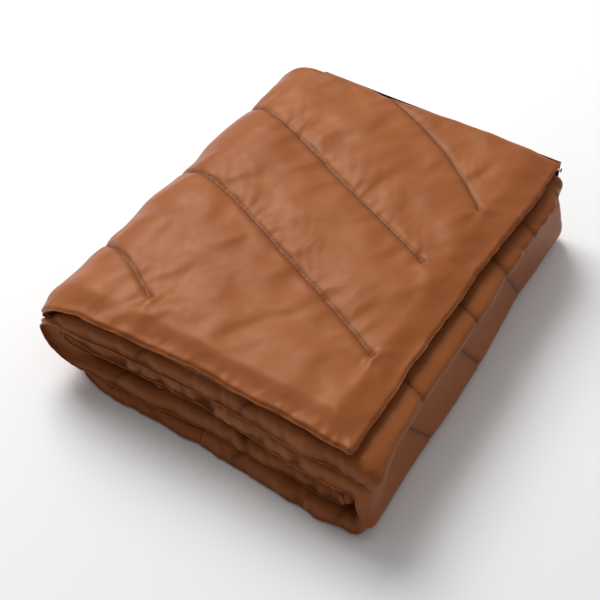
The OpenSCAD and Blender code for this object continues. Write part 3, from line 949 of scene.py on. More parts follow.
def thread_finish(name, colour):
    """Twisted sewing thread."""
    material, tree, shader = fresh_material(name)
    place = tree.nodes.new("ShaderNodeTexCoord").outputs["Object"]
    mottle = put_group(tree, shared("Cloth Mottle", mottle_group), place, Spread=40.0)
    fleck = stretch(tree, mottle.outputs["Fleck"], 0.3, 0.7)
    body = mixed(tree, fleck, toned(colour, 0.75), toned(colour, 1.2))
    tree.links.new(body, shader.inputs["Base Color"])
    shader.inputs["Roughness"].default_value = 0.55
    shader.inputs["Sheen Weight"].default_value = 0.3
    twist = noise(tree, place, 1500.0, 1.0)
    bumps(tree, shader, [(twist, 0.6, 0.0003)])
    return material


def hard_finish(name, colour, metallic, rough, size=260.0, grain=0.00008):
    """Metal or moulded plastic with rubbed patches and fine scratches."""
    material, tree, shader = fresh_material(name)
    place = tree.nodes.new("ShaderNodeTexCoord").outputs["Object"]
    wear = put_group(tree, shared("Handling Wear", wear_group), place, Size=size)
    rub = stretch(tree, wear.outputs["Rub"], 0.3, 0.7)
    body = mixed(tree, rub, toned(colour, 0.82), toned(colour, 1.15))
    tree.links.new(body, shader.inputs["Base Color"])
    dulled = maths(tree, "MULTIPLY_ADD", wear.outputs["Rub"], 0.22, rough - 0.1)
    tree.links.new(dulled, shader.inputs["Roughness"])
    shader.inputs["Metallic"].default_value = metallic
    bumps(tree, shader, [(wear.outputs["Scratch"], 0.35, grain), (wear.outputs["Rub"], 0.3, grain)])
    return material


def finish(name):
    """The named material, made on first use."""
    known = bpy.data.materials.get(name)
    if known:
        return known
    colours = bpy.context.scene.sauna_finish
    cover, tape = tuple(colours.cover), tuple(colours.tape)
    if name == "quilting_thread":
        return thread_finish(name, tuple(colours.thread))
    cloths = {
        "copper_satin": (cover,),
        "bag_lining": (tuple(colours.lining), 0.5, 0.15, 2200.0),
        "seam_binding": (toned(cover, 0.62)[:3], 0.55, 0.2, 1400.0, 0.0003, False),
        "zip_tape_cloth": (tape, 0.7, 0.3, 1100.0, 0.0002, False),
        "care_label_cloth": ((0.62, 0.58, 0.53), 0.65, 0.2, 900.0, 0.0002, False),
    }
    if name in cloths:
        return cloth_finish(name, *cloths[name])
    return hard_finish(name, *{
        "zip_coil_nylon": (toned(tape, 1.2)[:3], 0.0, 0.42, 900.0),
        "brushed_zinc": (tuple(colours.metal), 1.0, 0.36, 420.0),
        "inlet_moulding": (tuple(colours.plastic), 0.0, 0.52, 300.0, 0.0002),
        "contact_brass": ((0.62, 0.43, 0.16), 1.0, 0.3, 700.0),
    }[name])


def dress(obj, *names):
    """Give a piece its materials in slot order."""
    obj.data.materials.clear()
    for name in names:
        obj.data.materials.append(finish(name))
    return obj


# ---------------------------------------------------------------- the three quilts

WORK = {}


def quilt_settings():
    """The quilt settings of the scene at hand."""
    return bpy.context.scene.sauna_quilt


def channel(quilt, *points):
    """A stitched channel through (x, z, y) points of a fold line."""
    return curve_through([(quilt.at(x, z), y) for x, z, y in points])


def make_head_quilt():
    """The outermost quilt, from its free end round the fold: its line, its quilting and its shape."""
    line, _, _ = fold_lines()
    quilt = Quilt("head_quilt", line, NEAR_Y, FAR_Y, 11)
    left = FOLD_X - (HEAD_Z - AXIS_Z)
    shoulder_x, shoulder_z = FOLD_X - 0.048, HEAD_Z - 0.0175
    under = FOLD_X + 0.02
    quilt.lines = [
        channel(quilt, (under, BASE_Z, -0.235), (left, AXIS_Z, -0.172), (shoulder_x, shoulder_z, -0.198),
                (-0.140, HEAD_Z, -0.267)),
        channel(quilt, (-0.03, BASE_Z, -0.085), (under, BASE_Z, -0.020), (left, AXIS_Z, 0.020),
                (-0.235, HEAD_Z - 0.004, 0.006), (-0.012, HEAD_Z, -0.083), (0.110, HEAD_Z, -0.139),
                (0.209, HEAD_Z, -0.188)),
        channel(quilt, (-0.03, BASE_Z, 0.115), (under, BASE_Z, 0.180), (left, AXIS_Z, 0.222),
                (-0.235, HEAD_Z - 0.004, 0.200), (-0.012, HEAD_Z, 0.104), (0.095, HEAD_Z, 0.056),
                (0.180, HEAD_Z, 0.016)),
        channel(quilt, (-0.075, HEAD_Z, 0.350), (-0.048, HEAD_Z, 0.336), (0.092, HEAD_Z, 0.261),
                (0.160, HEAD_Z, 0.208), (0.206, HEAD_Z, 0.166)),
    ]
    turn = quilt.at(shoulder_x, shoulder_z)
    bottom = quilt.at(FOLD_X, BASE_Z)
    shape = Shape(
        edge_near=0.008, edge_start=0.008, edge_end=0.0016, lean_start=0.10, corner=0.007,
        lean_near=[(0, 0.12), (turn + 0.03, 0.12), (turn + 0.10, -0.5), (bottom - 0.05, -0.4),
                   (bottom + 0.02, 0.6), (9, 0.70)],
        near_soft=[(0, 0.008), (turn + 0.03, 0.008), (bottom, 0.018), (9, 0.018)],
        taper_top=0.74, taper_under=0.86, taper_width=0.062,
        slim=[(0, 1), (turn - 0.01, 1), (turn + 0.05, 0.5), (bottom, 0.3), (9, 0.0)],
        near_line=[(0, 0.012), (0.10, 0.017), (0.28, 0.023), (0.40, 0.017), (turn - 0.012, 0.011),
                   (turn + 0.035, 0.010), (turn + 0.062, 0.032), (bottom - 0.05, 0.023),
                   (bottom - 0.02, 0.010), (bottom + 0.02, 0.004), (bottom + 0.10, 0.003),
                   (bottom + 0.17, 0.001), (quilt.length, 0.003)],
        far_line=[(0, 0), (quilt.at(0.05, HEAD_Z), 0), (quilt.at(-0.10, HEAD_Z), -0.005),
                  (quilt.at(FOLD_X, HEAD_Z), -0.010), (bottom - 0.05, -0.008), (bottom, 0), (9, 0)],
        inner=[(0, 0.86), (9, 0.86)],
        tucks=[(line[-2], line[-1]) for line in quilt.lines],
        gather=[(0, 0.0010), (turn + 0.03, 0.0010), (bottom, 0.0040), (9, 0.0044)], start_in=0.011)
    return quilt, shape


def flared_fold(p):
    """Open the lower head quilt's bend towards its near end, as cloth does where nothing holds it."""
    p = p.copy()
    dx, dz = p[..., 0] - FOLD_X, p[..., 2] - AXIS_Z
    radius = np.hypot(dx, dz)
    turned = smooth((-dx + 0.004) / 0.03) * smooth((0.042 - dz) / 0.040)
    flare = 0.030 * smooth((-0.330 - p[..., 1]) / 0.018) * turned
    thinner = 1 + 0.5 * np.clip((0.060 - radius) / 0.030, 0, 1)
    grow = 1 + flare * thinner / np.maximum(radius, 0.01)
    p[..., 0] = FOLD_X + dx * grow
    p[..., 2] = AXIS_Z + dz * np.where(dz > 0, grow, 1 + 0.35 * (grow - 1))
    return p


def drawn_corners(p):
    """Push the foot end's near corner towards the fold and draw in a short run of the far lower edge."""
    p = p.copy()
    x, y, z = p[..., 0], p[..., 1], p[..., 2]
    reach = smooth((-0.322 - y) / 0.022) * smooth((-0.130 - x) / 0.075)
    between = smooth((z - 0.050) / 0.010)
    x -= 0.036 * reach * between
    low = smooth((0.036 - z) / 0.006)
    y -= 0.009 * low * smooth((y - 0.325) / 0.02) * bump(x, 0.12, 0.036)
    return p


def make_lower_head_quilt():
    """The quilt under the head quilt: its line, its quilting and its shape."""
    _, line, _ = fold_lines()
    quilt = Quilt("lower_head_quilt", line, NEAR_Y, FAR_Y, 31)
    end_x, end_z = line[0]
    quilt.lines = [
        channel(quilt, (-0.118, HEAD_LOW_Z, NEAR_Y), (-0.040, HEAD_LOW_Z, -0.262)),
        channel(quilt, (0.072, HEAD_LOW_Z, NEAR_Y), (0.150, HEAD_LOW_Z, -0.262)),
        channel(quilt, (end_x, end_z, -0.200), (0.270, HEAD_LOW_Z, -0.186), (0.180, HEAD_LOW_Z, -0.140)),
        channel(quilt, (end_x, end_z, -0.026), (0.270, HEAD_LOW_Z, -0.012), (0.180, HEAD_LOW_Z, 0.034)),
        channel(quilt, (end_x, end_z, 0.088), (0.270, HEAD_LOW_Z, 0.102), (0.180, HEAD_LOW_Z, 0.150)),
        channel(quilt, (end_x, end_z, 0.190), (0.270, HEAD_LOW_Z, 0.204), (0.180, HEAD_LOW_Z, 0.250)),
        channel(quilt, (-0.170, BASE_HIGH_Z, NEAR_Y), (-0.090, BASE_HIGH_Z, -0.260)),
    ]
    bottom = quilt.at(FOLD_X, BASE_HIGH_Z)
    shape = Shape(
        edge_near=0.026, edge_start=0.030, edge_end=0.0016, lean_start=-0.86,
        lean_near=[(0, -0.78), (bottom - 0.10, -0.78), (bottom, 0.2), (bottom + 0.05, 0.70), (9, 0.70)],
        corner=0.024, depth=0.38,
        near_line=[(0, 0.006), (0.15, 0.005), (0.32, 0.016), (0.46, 0.011), (0.56, 0.004), (0.68, 0.006),
                   (quilt.length, 0.015)],
        inner=[(0, 0.98), (0.45, 0.98), (0.55, 0.82), (0.66, 0.82), (0.75, 0.98), (9, 0.98)],
        droop=flared_fold, gather=[(0, 0.0036), (9, 0.0044)])
    return quilt, shape


def make_base_quilt():
    """The quilt of the middle and folded-in thirds: its line, its quilting and its shape."""
    _, _, line = fold_lines()
    quilt = Quilt("base_quilt", line, NEAR_Y, FAR_Y, 61)
    face = WRAP_FACE_X - HALF
    corner_x, corner_z = WRAP_X + 0.012, FOOT_Z - 0.004
    low_x, low_z = WRAP_X + 0.012, BASE_Z + 0.004
    round_face = []
    for top_y, low_y in ((-0.222, -0.172), (-0.048, -0.002), (0.124, 0.168)):
        round_face.append(channel(
            quilt, (0.16, BASE_Z, low_y + 0.075), (low_x, low_z, low_y + 0.006),
            (face, 0.040, low_y - 0.010), (face, 0.080, top_y + 0.012),
            (corner_x, corner_z, top_y - 0.006), (0.16, FOOT_Z, top_y - 0.060)))
    quilt.lines = round_face + [
        channel(quilt, (0.060, BASE_Z, NEAR_Y), (0.130, BASE_Z, -0.290)),
        channel(quilt, (0.245, BASE_Z, NEAR_Y), (0.262, BASE_Z, -0.330)),
        channel(quilt, (0.020, FOOT_Z, NEAR_Y), (-0.060, FOOT_Z, -0.290)),
        channel(quilt, (-0.135, FOOT_Z, NEAR_Y), (-0.21, FOOT_Z, -0.290)),
        channel(quilt, (-0.150, FOOT_LOW_Z, NEAR_Y), (-0.075, FOOT_LOW_Z, -0.290)),
        channel(quilt, (-0.035, FOOT_LOW_Z, NEAR_Y), (0.03, FOOT_LOW_Z, -0.290)),
        channel(quilt, (0.120, FOOT_LOW_Z, NEAR_Y), (0.19, FOOT_LOW_Z, -0.290)),
        channel(quilt, (0.205, BASE_HIGH_Z, NEAR_Y), (0.150, BASE_HIGH_Z, -0.290)),
        channel(quilt, (0.085, BASE_HIGH_Z, NEAR_Y), (0.030, BASE_HIGH_Z, -0.290)),
    ]
    wrap = quilt.at(face, 0.06)
    on_top = quilt.at(0.20, FOOT_Z)
    turn = quilt.at(FOOT_X - 0.015, (FOOT_Z + FOOT_LOW_Z) / 2)
    back = quilt.at(INNER_WRAP_X + 0.015, (FOOT_LOW_Z + BASE_HIGH_Z) / 2)
    shape = Shape(
        edge_near=0.018, edge_start=0.0016, edge_end=0.0016, start_joined=True,
        lean_near=[(0, 0.70), (quilt.at(0.22, BASE_Z), 0.66), (wrap, 0.0), (on_top, -0.70),
                   (turn - 0.03, -0.70), (turn + 0.03, 0.60), (back - 0.03, 0.60), (back + 0.03, -0.70),
                   (9, -0.70)],
        corner=0.0005, depth=0.28,
        near_line=[(0, 0.003), (quilt.at(0.05, BASE_Z), -0.001), (quilt.at(0.10, BASE_Z), -0.004),
                   (quilt.at(0.16, BASE_Z), -0.010), (quilt.at(0.22, BASE_Z), -0.012),
                   (wrap, -0.007), (on_top, -0.003),
                   (quilt.at(0.0, FOOT_Z), 0.016), (turn - 0.06, 0.012), (turn, 0.014),
                   (turn + 0.06, 0.030), (back - 0.05, 0.026), (back, 0.004), (back + 0.06, 0.006),
                   (quilt.length, 0.015)],
        inner=[(0, 0.98), (turn - 0.06, 0.98), (turn, 0.62), (turn + 0.06, 0.96), (back - 0.06, 0.98),
               (back, 0.9), (9, 0.98)],
        droop=drawn_corners,
        thin=[(0, 1), (back - 0.06, 0.98), (back, 0.66), (back + 0.06, 0.98), (9, 0.98)],
        gather=[(0, 0.0052), (wrap - 0.03, 0.0052), (wrap, 0.0018), (on_top, 0.0052), (9, 0.0064)],
        edge_wander=1.5)
    return quilt, shape


def place_quilt(made, lining_side, nodes, stretch_of=None):
    """Mesh a quilt, dress it and hide the CAD pieces it stands for."""
    quilt, shape = made
    WORK[quilt.name] = quilt
    settings = quilt_settings()
    flow = None
    if stretch_of is not None:
        flow = cloth_flow(quilt, *stretch_of, settings)
    obj = quilt_mesh(quilt, shape, settings, lining_side, flow)
    dress(obj, "copper_satin", "bag_lining")
    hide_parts(*nodes)
    return obj


def panel_nodes(*panels):
    """The CAD pieces of some panels, from the cover in to the heating tape."""
    return [f"{panel}_{part}" for panel in panels for part in PANEL_PARTS]


def hinge_blend(obj, low, high):
    """Bake the piece's place into its mesh; it does not follow the top third's fold, and low and high are
    not used.
    """
    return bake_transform(obj)


def blurred(grid, reach):
    """A grid smoothed along both ways by a window of that many cells."""
    window = np.hanning(2 * reach + 3)[1:-1]
    window /= window.sum()
    for axis in (0, 1):
        pad = [(reach, reach) if k == axis else (0, 0) for k in (0, 1)]
        grid = np.apply_along_axis(lambda row: np.convolve(row, window, "valid"), axis,
                                   np.pad(grid, pad, mode="edge"))
    return grid


def read_grid(grid, u, v):
    """Values of a grid between its points, at row u and column v."""
    i, j = u.astype(int), v.astype(int)
    fu, fv = u - i, v - j
    return ((grid[i, j] * (1 - fu) + grid[i + 1, j] * fu) * (1 - fv)
            + (grid[i, j + 1] * (1 - fu) + grid[i + 1, j + 1] * fu) * fv)


def combed(field, across, cell, reach):
    """A field drawn out into long folds that run across the seams."""
    rows, cols = field.shape
    i, j = np.meshgrid(np.arange(rows, dtype=float), np.arange(cols, dtype=float), indexing="ij")
    total, weight = np.zeros_like(field), 0.0
    for offset in np.linspace(-reach, reach, 17):
        share = 1 + math.cos(math.pi * offset / reach)
        u = np.clip(i + offset * across[0] / cell, 0, rows - 1.001)
        v = np.clip(j + offset * across[1] / cell, 0, cols - 1.001)
        total += share * read_grid(field, u, v)
        weight += share
    return total / weight


def cloth_flow(quilt, s_low, s_high, seam_way, settings):
    """Let the cover of a stretch of quilt swell and gather between its seams, as real cloth does.
    Returns how far each point of the skin moves along s, y and n."""
    cell = settings.cloth_cell
    s = np.linspace(s_low, s_high, int((s_high - s_low) / cell) + 1)
    y = np.linspace(quilt.near, quilt.far, int((quilt.far - quilt.near) / cell) + 1)
    gs, gy = np.meshgrid(s, y, indexing="ij")
    fine, broad = Drift(quilt.seed + 70), Drift(quilt.seed + 71)
    rest = 0.0004 * fine(gs / 0.017, gy / 0.017) + 0.0006 * broad(gs / 0.05, gy / 0.05)
    rows, cols = gs.shape
    index = np.arange(rows * cols).reshape(rows, cols)
    faces = np.stack([index[:-1, :-1], index[1:, :-1], index[1:, 1:], index[:-1, 1:]], -1).reshape(-1, 4)
    flat = np.stack([gs, gy, rest], -1).reshape(-1, 3)
    obj = new_mesh("cover_rehearsal", flat, [tuple(map(int, face)) for face in faces])
    dist, _, _ = quilt.seam_field(gs, gy)
    held = dist < cell * 0.75
    held[0], held[-1], held[:, 0], held[:, -1] = True, True, True, True
    pins = obj.vertex_groups.new(name="held")
    pins.add([int(i) for i in index[held]], 1.0, "REPLACE")
    cloth = obj.modifiers.new("cloth", "CLOTH")
    cloth.settings.quality = 6
    cloth.settings.mass = 0.12
    cloth.settings.tension_stiffness = cloth.settings.compression_stiffness = 20
    cloth.settings.shear_stiffness = 8
    cloth.settings.bending_stiffness = settings.cloth_bend
    cloth.settings.shrink_min = -settings.cloth_ease
    cloth.settings.use_pressure = True
    cloth.settings.uniform_pressure_force = settings.cloth_pressure
    cloth.settings.vertex_group_mass = "held"
    cloth.settings.effector_weights.gravity = 0
    cloth.collision_settings.use_collision = False
    cloth.point_cache.frame_start, cloth.point_cache.frame_end = 1, settings.cloth_frames
    scene = bpy.context.scene
    for frame_number in range(1, settings.cloth_frames + 1):
        scene.frame_set(frame_number)
    shaped = obj.evaluated_get(bpy.context.evaluated_depsgraph_get()).to_mesh()
    moved = np.empty(rows * cols * 3, np.float32)
    shaped.vertices.foreach_get("co", moved)
    moved = moved.reshape(rows, cols, 3).astype(float)
    obj.evaluated_get(bpy.context.evaluated_depsgraph_get()).to_mesh_clear()
    bpy.data.objects.remove(obj)
    scene.frame_set(1)
    # The broad swell comes from the padded shape, so only the gathers of the simulation are kept.
    rise = moved[..., 2]
    rise = rise - 0.85 * blurred(rise, int(0.045 / cell))
    drawn = combed(blurred(rise, 2), (-seam_way[1], seam_way[0]), cell, 0.042)
    rise = drawn * (np.std(rise) / np.std(drawn)) * 1.5 + 0.25 * rise
    highest = 0.005
    by_seams = 0.34 + 0.66 * np.exp(-dist / 0.060)
    rise = highest * np.tanh(rise / highest) * by_seams * settings.cloth_share
    shift_s, shift_y = moved[..., 0] - gs, moved[..., 1] - gy
    fields = [np.clip(blurred(field, 1), -0.008, 0.008) for field in (shift_s, shift_y, rise)]

    def flow(at_s, at_y):
        """How far the skin moves at some places, fading out where the simulated stretch ends."""
        u = np.clip((at_s - s[0]) / (s[1] - s[0]), 0, rows - 1.001)
        v = np.clip((at_y - y[0]) / (y[1] - y[0]), 0, cols - 1.001)
        fade = smooth((s_high - at_s) / 0.05)
        return [read_grid(field, u, v) * fade for field in fields]

    return flow


class SAUNA_OT_head_quilt(bpy.types.Operator):
    """Build the outer quilt of the top third and its fold"""
    bl_idname = "sauna.head_quilt"
    bl_label = "Head Quilt"

    def execute(self, context):
        nodes = panel_nodes("head_outer") + ["left_outer_bend"]
        made = make_head_quilt()
        stretch_of = (0.0, made[0].at(FOLD_X - (HEAD_Z - AXIS_Z), AXIS_Z) + 0.08, SEAM_WAY)
        obj = place_quilt(made, "inner", nodes, stretch_of)
        hinge_blend(obj, 2 * BASE_Z, HEAD_Z - HALF)
        return {"FINISHED"}


class SAUNA_OT_lower_head_quilt(bpy.types.Operator):
    """Build the inner quilt of the top third and its fold"""
    bl_idname = "sauna.lower_head_quilt"
    bl_label = "Lower Head Quilt"

    def execute(self, context):
        nodes = panel_nodes("head_inner") + ["left_inner_bend"]
        obj = place_quilt(make_lower_head_quilt(), "outer", nodes)
        hinge_blend(obj, BASE_HIGH_Z + HALF, HEAD_LOW_Z - HALF)
        return {"FINISHED"}


class SAUNA_OT_base_quilt(bpy.types.Operator):
    """Build the middle and folded-in thirds, round the right wraps and the foot end"""
    bl_idname = "sauna.base_quilt"
    bl_label = "Base Quilt"

    def execute(self, context):
        nodes = panel_nodes("middle_outer", "middle_inner", "foot_outer", "foot_inner") + [
            "right_outer_wrap", "right_inner_wrap", "foot_end_join",
            "lead_harness", "thermal_cutouts", "temperature_sensor"]
        obj = place_quilt(make_base_quilt(), "inner", nodes)
        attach(obj, "base")
        return {"FINISHED"}


# ---------------------------------------------------------------- sewing


def edge_ridge(quilt, name, start_too, width):
    """The turned seam that shows as a fine ridge along a quilt's near edge and its free end."""
    _, _, top = quilt.skin
    near = top[:, 0]
    points = near[::-1] if start_too else near
    if start_too:
        points = np.concatenate([points, top[0, 1:]])
    run = np.r_[0, np.cumsum(np.linalg.norm(np.diff(points, axis=0), axis=1))]
    even = np.arange(0.004, run[-1] - 0.004, 0.0028)
    points = np.stack([np.interp(even, run, points[:, k]) for k in range(3)], 1)
    wobble = Drift(quilt.seed + 40)
    size = width * (1 + 0.35 * wobble(even / 0.006, 1.0) + 0.25 * wobble(even / 0.0022, 5.0))
    points[:, 2] += 0.0005 * wobble(even / 0.012, 9.0)
    ups = np.tile((0.0, 0.0, 1.0), (len(points), 1))
    ups[np.abs(np.gradient(points, axis=0)[:, 2]) > 0.0014] = (0.0, -1.0, 0.0)
    verts, faces = tube(points, ups, size * 0.9, size, 7)
    return new_mesh(name, verts, faces)


class SAUNA_OT_stitching(bpy.types.Operator):
    """Sew the quilted channels and the turned edge seams"""
    bl_idname = "sauna.stitching"
    bl_label = "Stitching"

    def execute(self, context):
        settings = quilt_settings()
        head, low, base = (WORK[n] for n in ("head_quilt", "lower_head_quilt", "base_quilt"))
        jobs = (("head", head, 0.0013, (2 * BASE_Z, HEAD_Z - HALF)),
                ("lower_head", low, 0.0024, (BASE_HIGH_Z + HALF, HEAD_LOW_Z - HALF)),
                ("base", base, 0.0020, None))
        for label, quilt, ridge_width, bend in jobs:
            quilting = stitch_mesh(f"{label}_channel_stitches", quilt, settings)
            ridge = edge_ridge(quilt, f"{label}_edge_seam", bool(bend), ridge_width)
            dress(quilting, "quilting_thread")
            dress(ridge, "copper_satin")
            for piece in (quilting, ridge):
                if bend:
                    hinge_blend(piece, *bend)
                else:
                    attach(piece, "base")
        return {"FINISHED"}


# ---------------------------------------------------------------- side seam, zip and small parts


def ribbon(name, xs, y, z_low, z_high, thickness, seed, wave=0.0012):
    """A standing strip of tape or binding along X, closed, with soft waves."""
    drift = Drift(seed)
    rows = 7
    verts, faces = [], []
    count = len(xs)
    for side in (-1, 1):
        for i, x in enumerate(xs):
            for j in range(rows):
                t = j / (rows - 1)
                z = z_low + (z_high - z_low) * t
                bow = wave * float(drift(x / 0.04, t * 2 + 3)) + wave * 0.4 * float(drift(x / 0.013, t * 3))
                sway = wave * 0.5 * float(drift(x / 0.05, 20 + t))
                verts.append((x, y + bow + side * thickness / 2, z + sway))
    block = count * rows
    for i in range(count - 1):
        for j in range(rows - 1):
            a = i * rows + j
            faces.append((a, a + rows, a + rows + 1, a + 1))
            b = a + block
            faces.append((b, b + 1, b + rows + 1, b + rows))
    for i in range(count - 1):
        for j in (0, rows - 1):
            a, b = i * rows + j, (i + 1) * rows + j
            quad = (a, a + block, b + block, b)
            faces.append(quad if j == 0 else quad[::-1])
    for j in range(rows - 1):
        for i in (0, count - 1):
            a, b = i * rows + j, i * rows + j + 1
            quad = (a, b, b + block, a + block)
            faces.append(quad if i == 0 else quad[::-1])
    return new_mesh(name, verts, faces)


def ribbon_in_place(name, node, xs, seed, wave):
    """A ribbon that fills the box of a standing CAD strip."""
    low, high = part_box(node)
    return ribbon(name, xs, (low[1] + high[1]) / 2, low[2], high[2], high[1] - low[1], seed, wave)


class SAUNA_OT_side_seams(bpy.types.Operator):
    """Sew the near side, where the two quilts of each third are joined"""
    bl_idname = "sauna.side_seams"
    bl_label = "Side Seams"

    def execute(self, context):
        inset, half_width = 0.026, 0.0075
        for node, body, name in (("near_seam_head", "top_third", "head_side_seam"),
                                 ("near_seam_base", "base", "base_side_seam")):
            low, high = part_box(node)
            xs = np.arange(low[0] + 0.012, high[0] - 0.03, 0.006)
            if body == "top_third":
                strips = [(ZIP_Z, xs)]
            else:
                strips = [((FOOT_Z + FOOT_LOW_Z) / 2, xs), ((BASE_Z + BASE_HIGH_Z) / 2, xs)]
            y = low[1] + inset
            parts = [ribbon(f"{name}_{k}", row, y, z - half_width, z + half_width, 0.0014, 81 + k)
                     for k, (z, row) in enumerate(strips)]
            whole = parts[0]
            if len(parts) > 1:
                with bpy.context.temp_override(active_object=whole, selected_editable_objects=parts):
                    bpy.ops.object.join()
            whole.name = name
            dress(whole, "seam_binding")
            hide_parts(node)
            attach(whole, body)
        return {"FINISHED"}


def coil_mesh(name, x_low, x_high, pitch, y, z_root, z_tip):
    """One side of a nylon coil: a row of rounded loops that reach across the seam."""
    verts, faces = [], []
    sides, rings = 8, 7
    count = int((x_high - x_low) / pitch)
    thick = pitch * 0.62
    for k in range(count):
        x = x_low + (k + 0.5) * pitch
        base = len(verts)
        for r in range(rings):
            t = r / (rings - 1)
            z = z_root + (z_tip - z_root) * t
            rise = 0.0012 * math.sin(math.pi * t)
            swell = 0.55 + 0.45 * math.sin(math.pi * min(1.0, 0.25 + t * 0.72))
            for q in range(sides):
                a = 2 * math.pi * q / sides
                along, up = math.cos(a) * thick / 2 * swell, math.sin(a) * 0.0011 * swell
                verts.append((x + along, y + rise + up, z))
        faces += ring_faces(base, rings, sides)
    return new_mesh(name, verts, faces)


class SAUNA_OT_zip(bpy.types.Operator):
    """Lay the zip tapes and coils along the far side and finish the slider"""
    bl_idname = "sauna.zip"
    bl_label = "Zip"

    def execute(self, context):
        for node, seed in (("zip_tape_outer", 101), ("zip_tape_inner", 102)):
            low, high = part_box(node)
            xs = np.arange(low[0], high[0], 0.005)
            piece = ribbon_in_place(f"{node}_cloth", node, xs, seed, 0.0003)
            dress(piece, "zip_tape_cloth")
            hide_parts(node)
            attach(piece, "top_third")
        for node, shift in (("zip_coil_outer", 0.0), ("zip_coil_inner", 0.5)):
            low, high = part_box(node)
            outer = node.endswith("outer")
            pitch = 0.0021
            root, tip = (high[2], low[2] - 0.0004) if outer else (low[2], high[2] + 0.0004)
            piece = coil_mesh(f"{node}_teeth", low[0] + shift * pitch, high[0], pitch,
                              (low[1] + high[1]) / 2, root, tip)
            dress(piece, "zip_coil_nylon")
            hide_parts(node)
            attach(piece, "top_third")
        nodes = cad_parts
        for node in ("zip_slider", "zip_pull_tab", "zip_stops"):
            dress(nodes[node], "brushed_zinc")
        dress(nodes["zip_folded_stretch"], "zip_tape_cloth")
        return {"FINISHED"}


class SAUNA_OT_inlet(bpy.types.Operator):
    """Finish the controller inlet, its plate, contacts and rivets"""
    bl_idname = "sauna.inlet"
    bl_label = "Controller Inlet"

    def execute(self, context):
        for node, name in (("inlet_socket", "inlet_moulding"), ("inlet_backing_plate", "inlet_moulding"),
                           ("inlet_contacts", "contact_brass"), ("inlet_rivets", "contact_brass")):
            dress(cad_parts[node], name)
        return {"FINISHED"}


class SAUNA_OT_care_label(bpy.types.Operator):
    """Sew the plain care label into the far edge"""
    bl_idname = "sauna.care_label"
    bl_label = "Care Label"

    def execute(self, context):
        low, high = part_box("care_label")
        xs = np.linspace(low[0], high[0], 18)
        piece = ribbon_in_place("care_label_cloth", "care_label", xs, 111, 0.0004)
        dress(piece, "care_label_cloth")
        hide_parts("care_label")
        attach(piece, "base")
        return {"FINISHED"}


# ---------------------------------------------------------------- stage


def soft_light(name, power, size, place, aim=(0, 0, 0.08)):
    """A large soft light that faces the blanket."""
    data = bpy.data.lights.new(name, "AREA")
    data.energy = power
    data.shape = "RECTANGLE"
    data.size, data.size_y = size
    light = bpy.data.objects.new(name, data)
    light.location = place
    light.rotation_euler = (Vector(aim) - Vector(place)).to_track_quat("-Z", "Y").to_euler()
    bpy.context.scene.collection.objects.link(light)


def studio_sky(strength):
    """An even pale surround, brighter overhead and at the back, darker near the floor in front."""
    world = bpy.data.worlds.new("studio_world")
    world.use_nodes = True
    sky = world.node_tree
    background = next(node for node in sky.nodes if node.type == "BACKGROUND")
    background.inputs["Strength"].default_value = strength
    way = sky.nodes.new("ShaderNodeSeparateXYZ")
    sky.links.new(sky.nodes.new("ShaderNodeTexCoord").outputs["Generated"], way.inputs[0])
    darkest, brightest = 0.12, 1.15
    back = maths(sky, "MULTIPLY_ADD", way.outputs["Y"], 0.45, 0.42)
    overhead = maths(sky, "MULTIPLY", way.outputs["Z"], 0.75)
    glow = maths(sky, "MAXIMUM", maths(sky, "ADD", back, overhead), darkest)
    glow = maths(sky, "MINIMUM", glow, brightest)
    tint = sky.nodes.new("ShaderNodeCombineColor")
    for channel_name in ("Red", "Green", "Blue"):
        sky.links.new(glow, tint.inputs[channel_name])
    sky.links.new(tint.outputs[0], background.inputs["Color"])
    return world


def studio_camera(stage):
    """The camera, looking at the origin from the azimuth and elevation that are set."""
    az, el = stage.azimuth, stage.elevation
    toward = Vector((math.sin(az) * math.cos(el), -math.cos(az) * math.cos(el), math.sin(el)))
    data = bpy.data.cameras.new("camera")
    data.lens = stage.focal
    data.sensor_width = 36.0
    data.shift_x, data.shift_y = -0.0334, -0.0026
    data.clip_end = 50.0
    camera = bpy.data.objects.new("camera", data)
    camera.location = toward * stage.distance
    camera.rotation_euler = (-toward).to_track_quat("-Z", "Y").to_euler()
    bpy.context.scene.collection.objects.link(camera)
    return camera


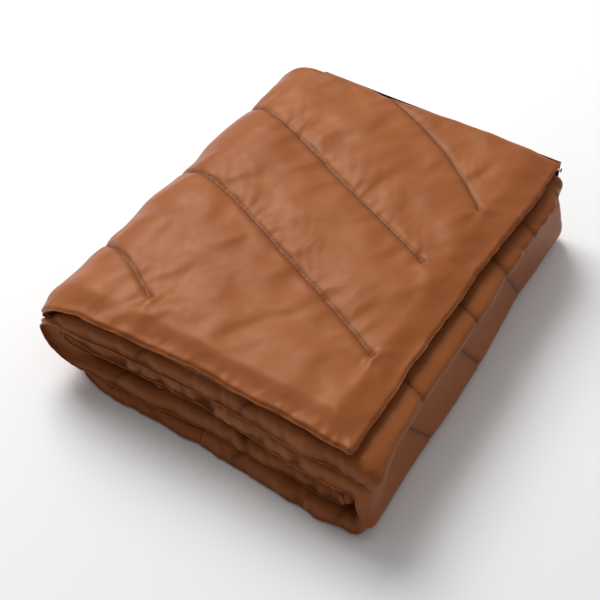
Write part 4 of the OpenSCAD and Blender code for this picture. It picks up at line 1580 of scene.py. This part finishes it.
class SAUNA_OT_stage(bpy.types.Operator):
    """Set the pale floor, the soft studio light and the camera"""
    bl_idname = "sauna.stage"
    bl_label = "Stage"

    def execute(self, context):
        stage = context.scene.sauna_stage
        scene = context.scene
        reach = 9.0
        corners = [(-reach, -reach, 0), (reach, -reach, 0), (reach, reach, 0), (-reach, reach, 0)]
        floor = new_mesh("floor", corners, [(0, 1, 2, 3)], False)
        material, tree, shader = fresh_material("studio_floor")
        place = tree.nodes.new("ShaderNodeTexCoord").outputs["Object"]
        grain = noise(tree, place, 3.0, 2.0)
        pale, paler = (0.90, 0.90, 0.90, 1), (0.92, 0.92, 0.92, 1)
        tree.links.new(mixed(tree, grain, pale, paler), shader.inputs["Base Color"])
        shader.inputs["Roughness"].default_value = 0.9
        floor.data.materials.append(material)
        scene.world = studio_sky(stage.sky)
        soft_light("key_light", stage.key_power, (2.4, 2.4), (-2.3, 1.3, 3.2))
        scene.camera = studio_camera(stage)
        scene.view_settings.view_transform = "Standard"
        return {"FINISHED"}


# ---------------------------------------------------------------- panel and registration

STEPS = ("head_quilt", "lower_head_quilt", "base_quilt", "stitching", "side_seams", "zip", "inlet",
         "care_label", "stage")


class SAUNA_PT_panel(bpy.types.Panel):
    bl_idname = "SAUNA_PT_panel"
    bl_label = "Sauna Blanket"
    bl_space_type = "VIEW_3D"
    bl_region_type = "UI"
    bl_category = "Sauna Blanket"

    def draw(self, context):
        for group in (context.scene.sauna_quilt, context.scene.sauna_finish, context.scene.sauna_stage):
            box = self.layout.box()
            for label in group.bl_rna.properties.keys():
                if label not in ("rna_type", "name"):
                    box.prop(group, label)
        for step in STEPS:
            self.layout.operator(f"sauna.{step}")


CLASSES = (QuiltSettings, FinishSettings, StageSettings, SAUNA_OT_head_quilt, SAUNA_OT_lower_head_quilt,
           SAUNA_OT_base_quilt, SAUNA_OT_stitching, SAUNA_OT_side_seams, SAUNA_OT_zip, SAUNA_OT_inlet,
           SAUNA_OT_care_label, SAUNA_OT_stage, SAUNA_PT_panel)
GROUPS = (("sauna_quilt", QuiltSettings), ("sauna_finish", FinishSettings), ("sauna_stage", StageSettings))


def register():
    for item in CLASSES:
        bpy.utils.register_class(item)
    for label, group in GROUPS:
        setattr(bpy.types.Scene, label, bpy.props.PointerProperty(type=group))


def unregister():
    for label, _ in GROUPS:
        delattr(bpy.types.Scene, label)
    for item in reversed(CLASSES):
        bpy.utils.unregister_class(item)


def main():
    register()
    for step in STEPS:
        getattr(bpy.ops.sauna, step)()


if __name__ == "__main__":
    main()
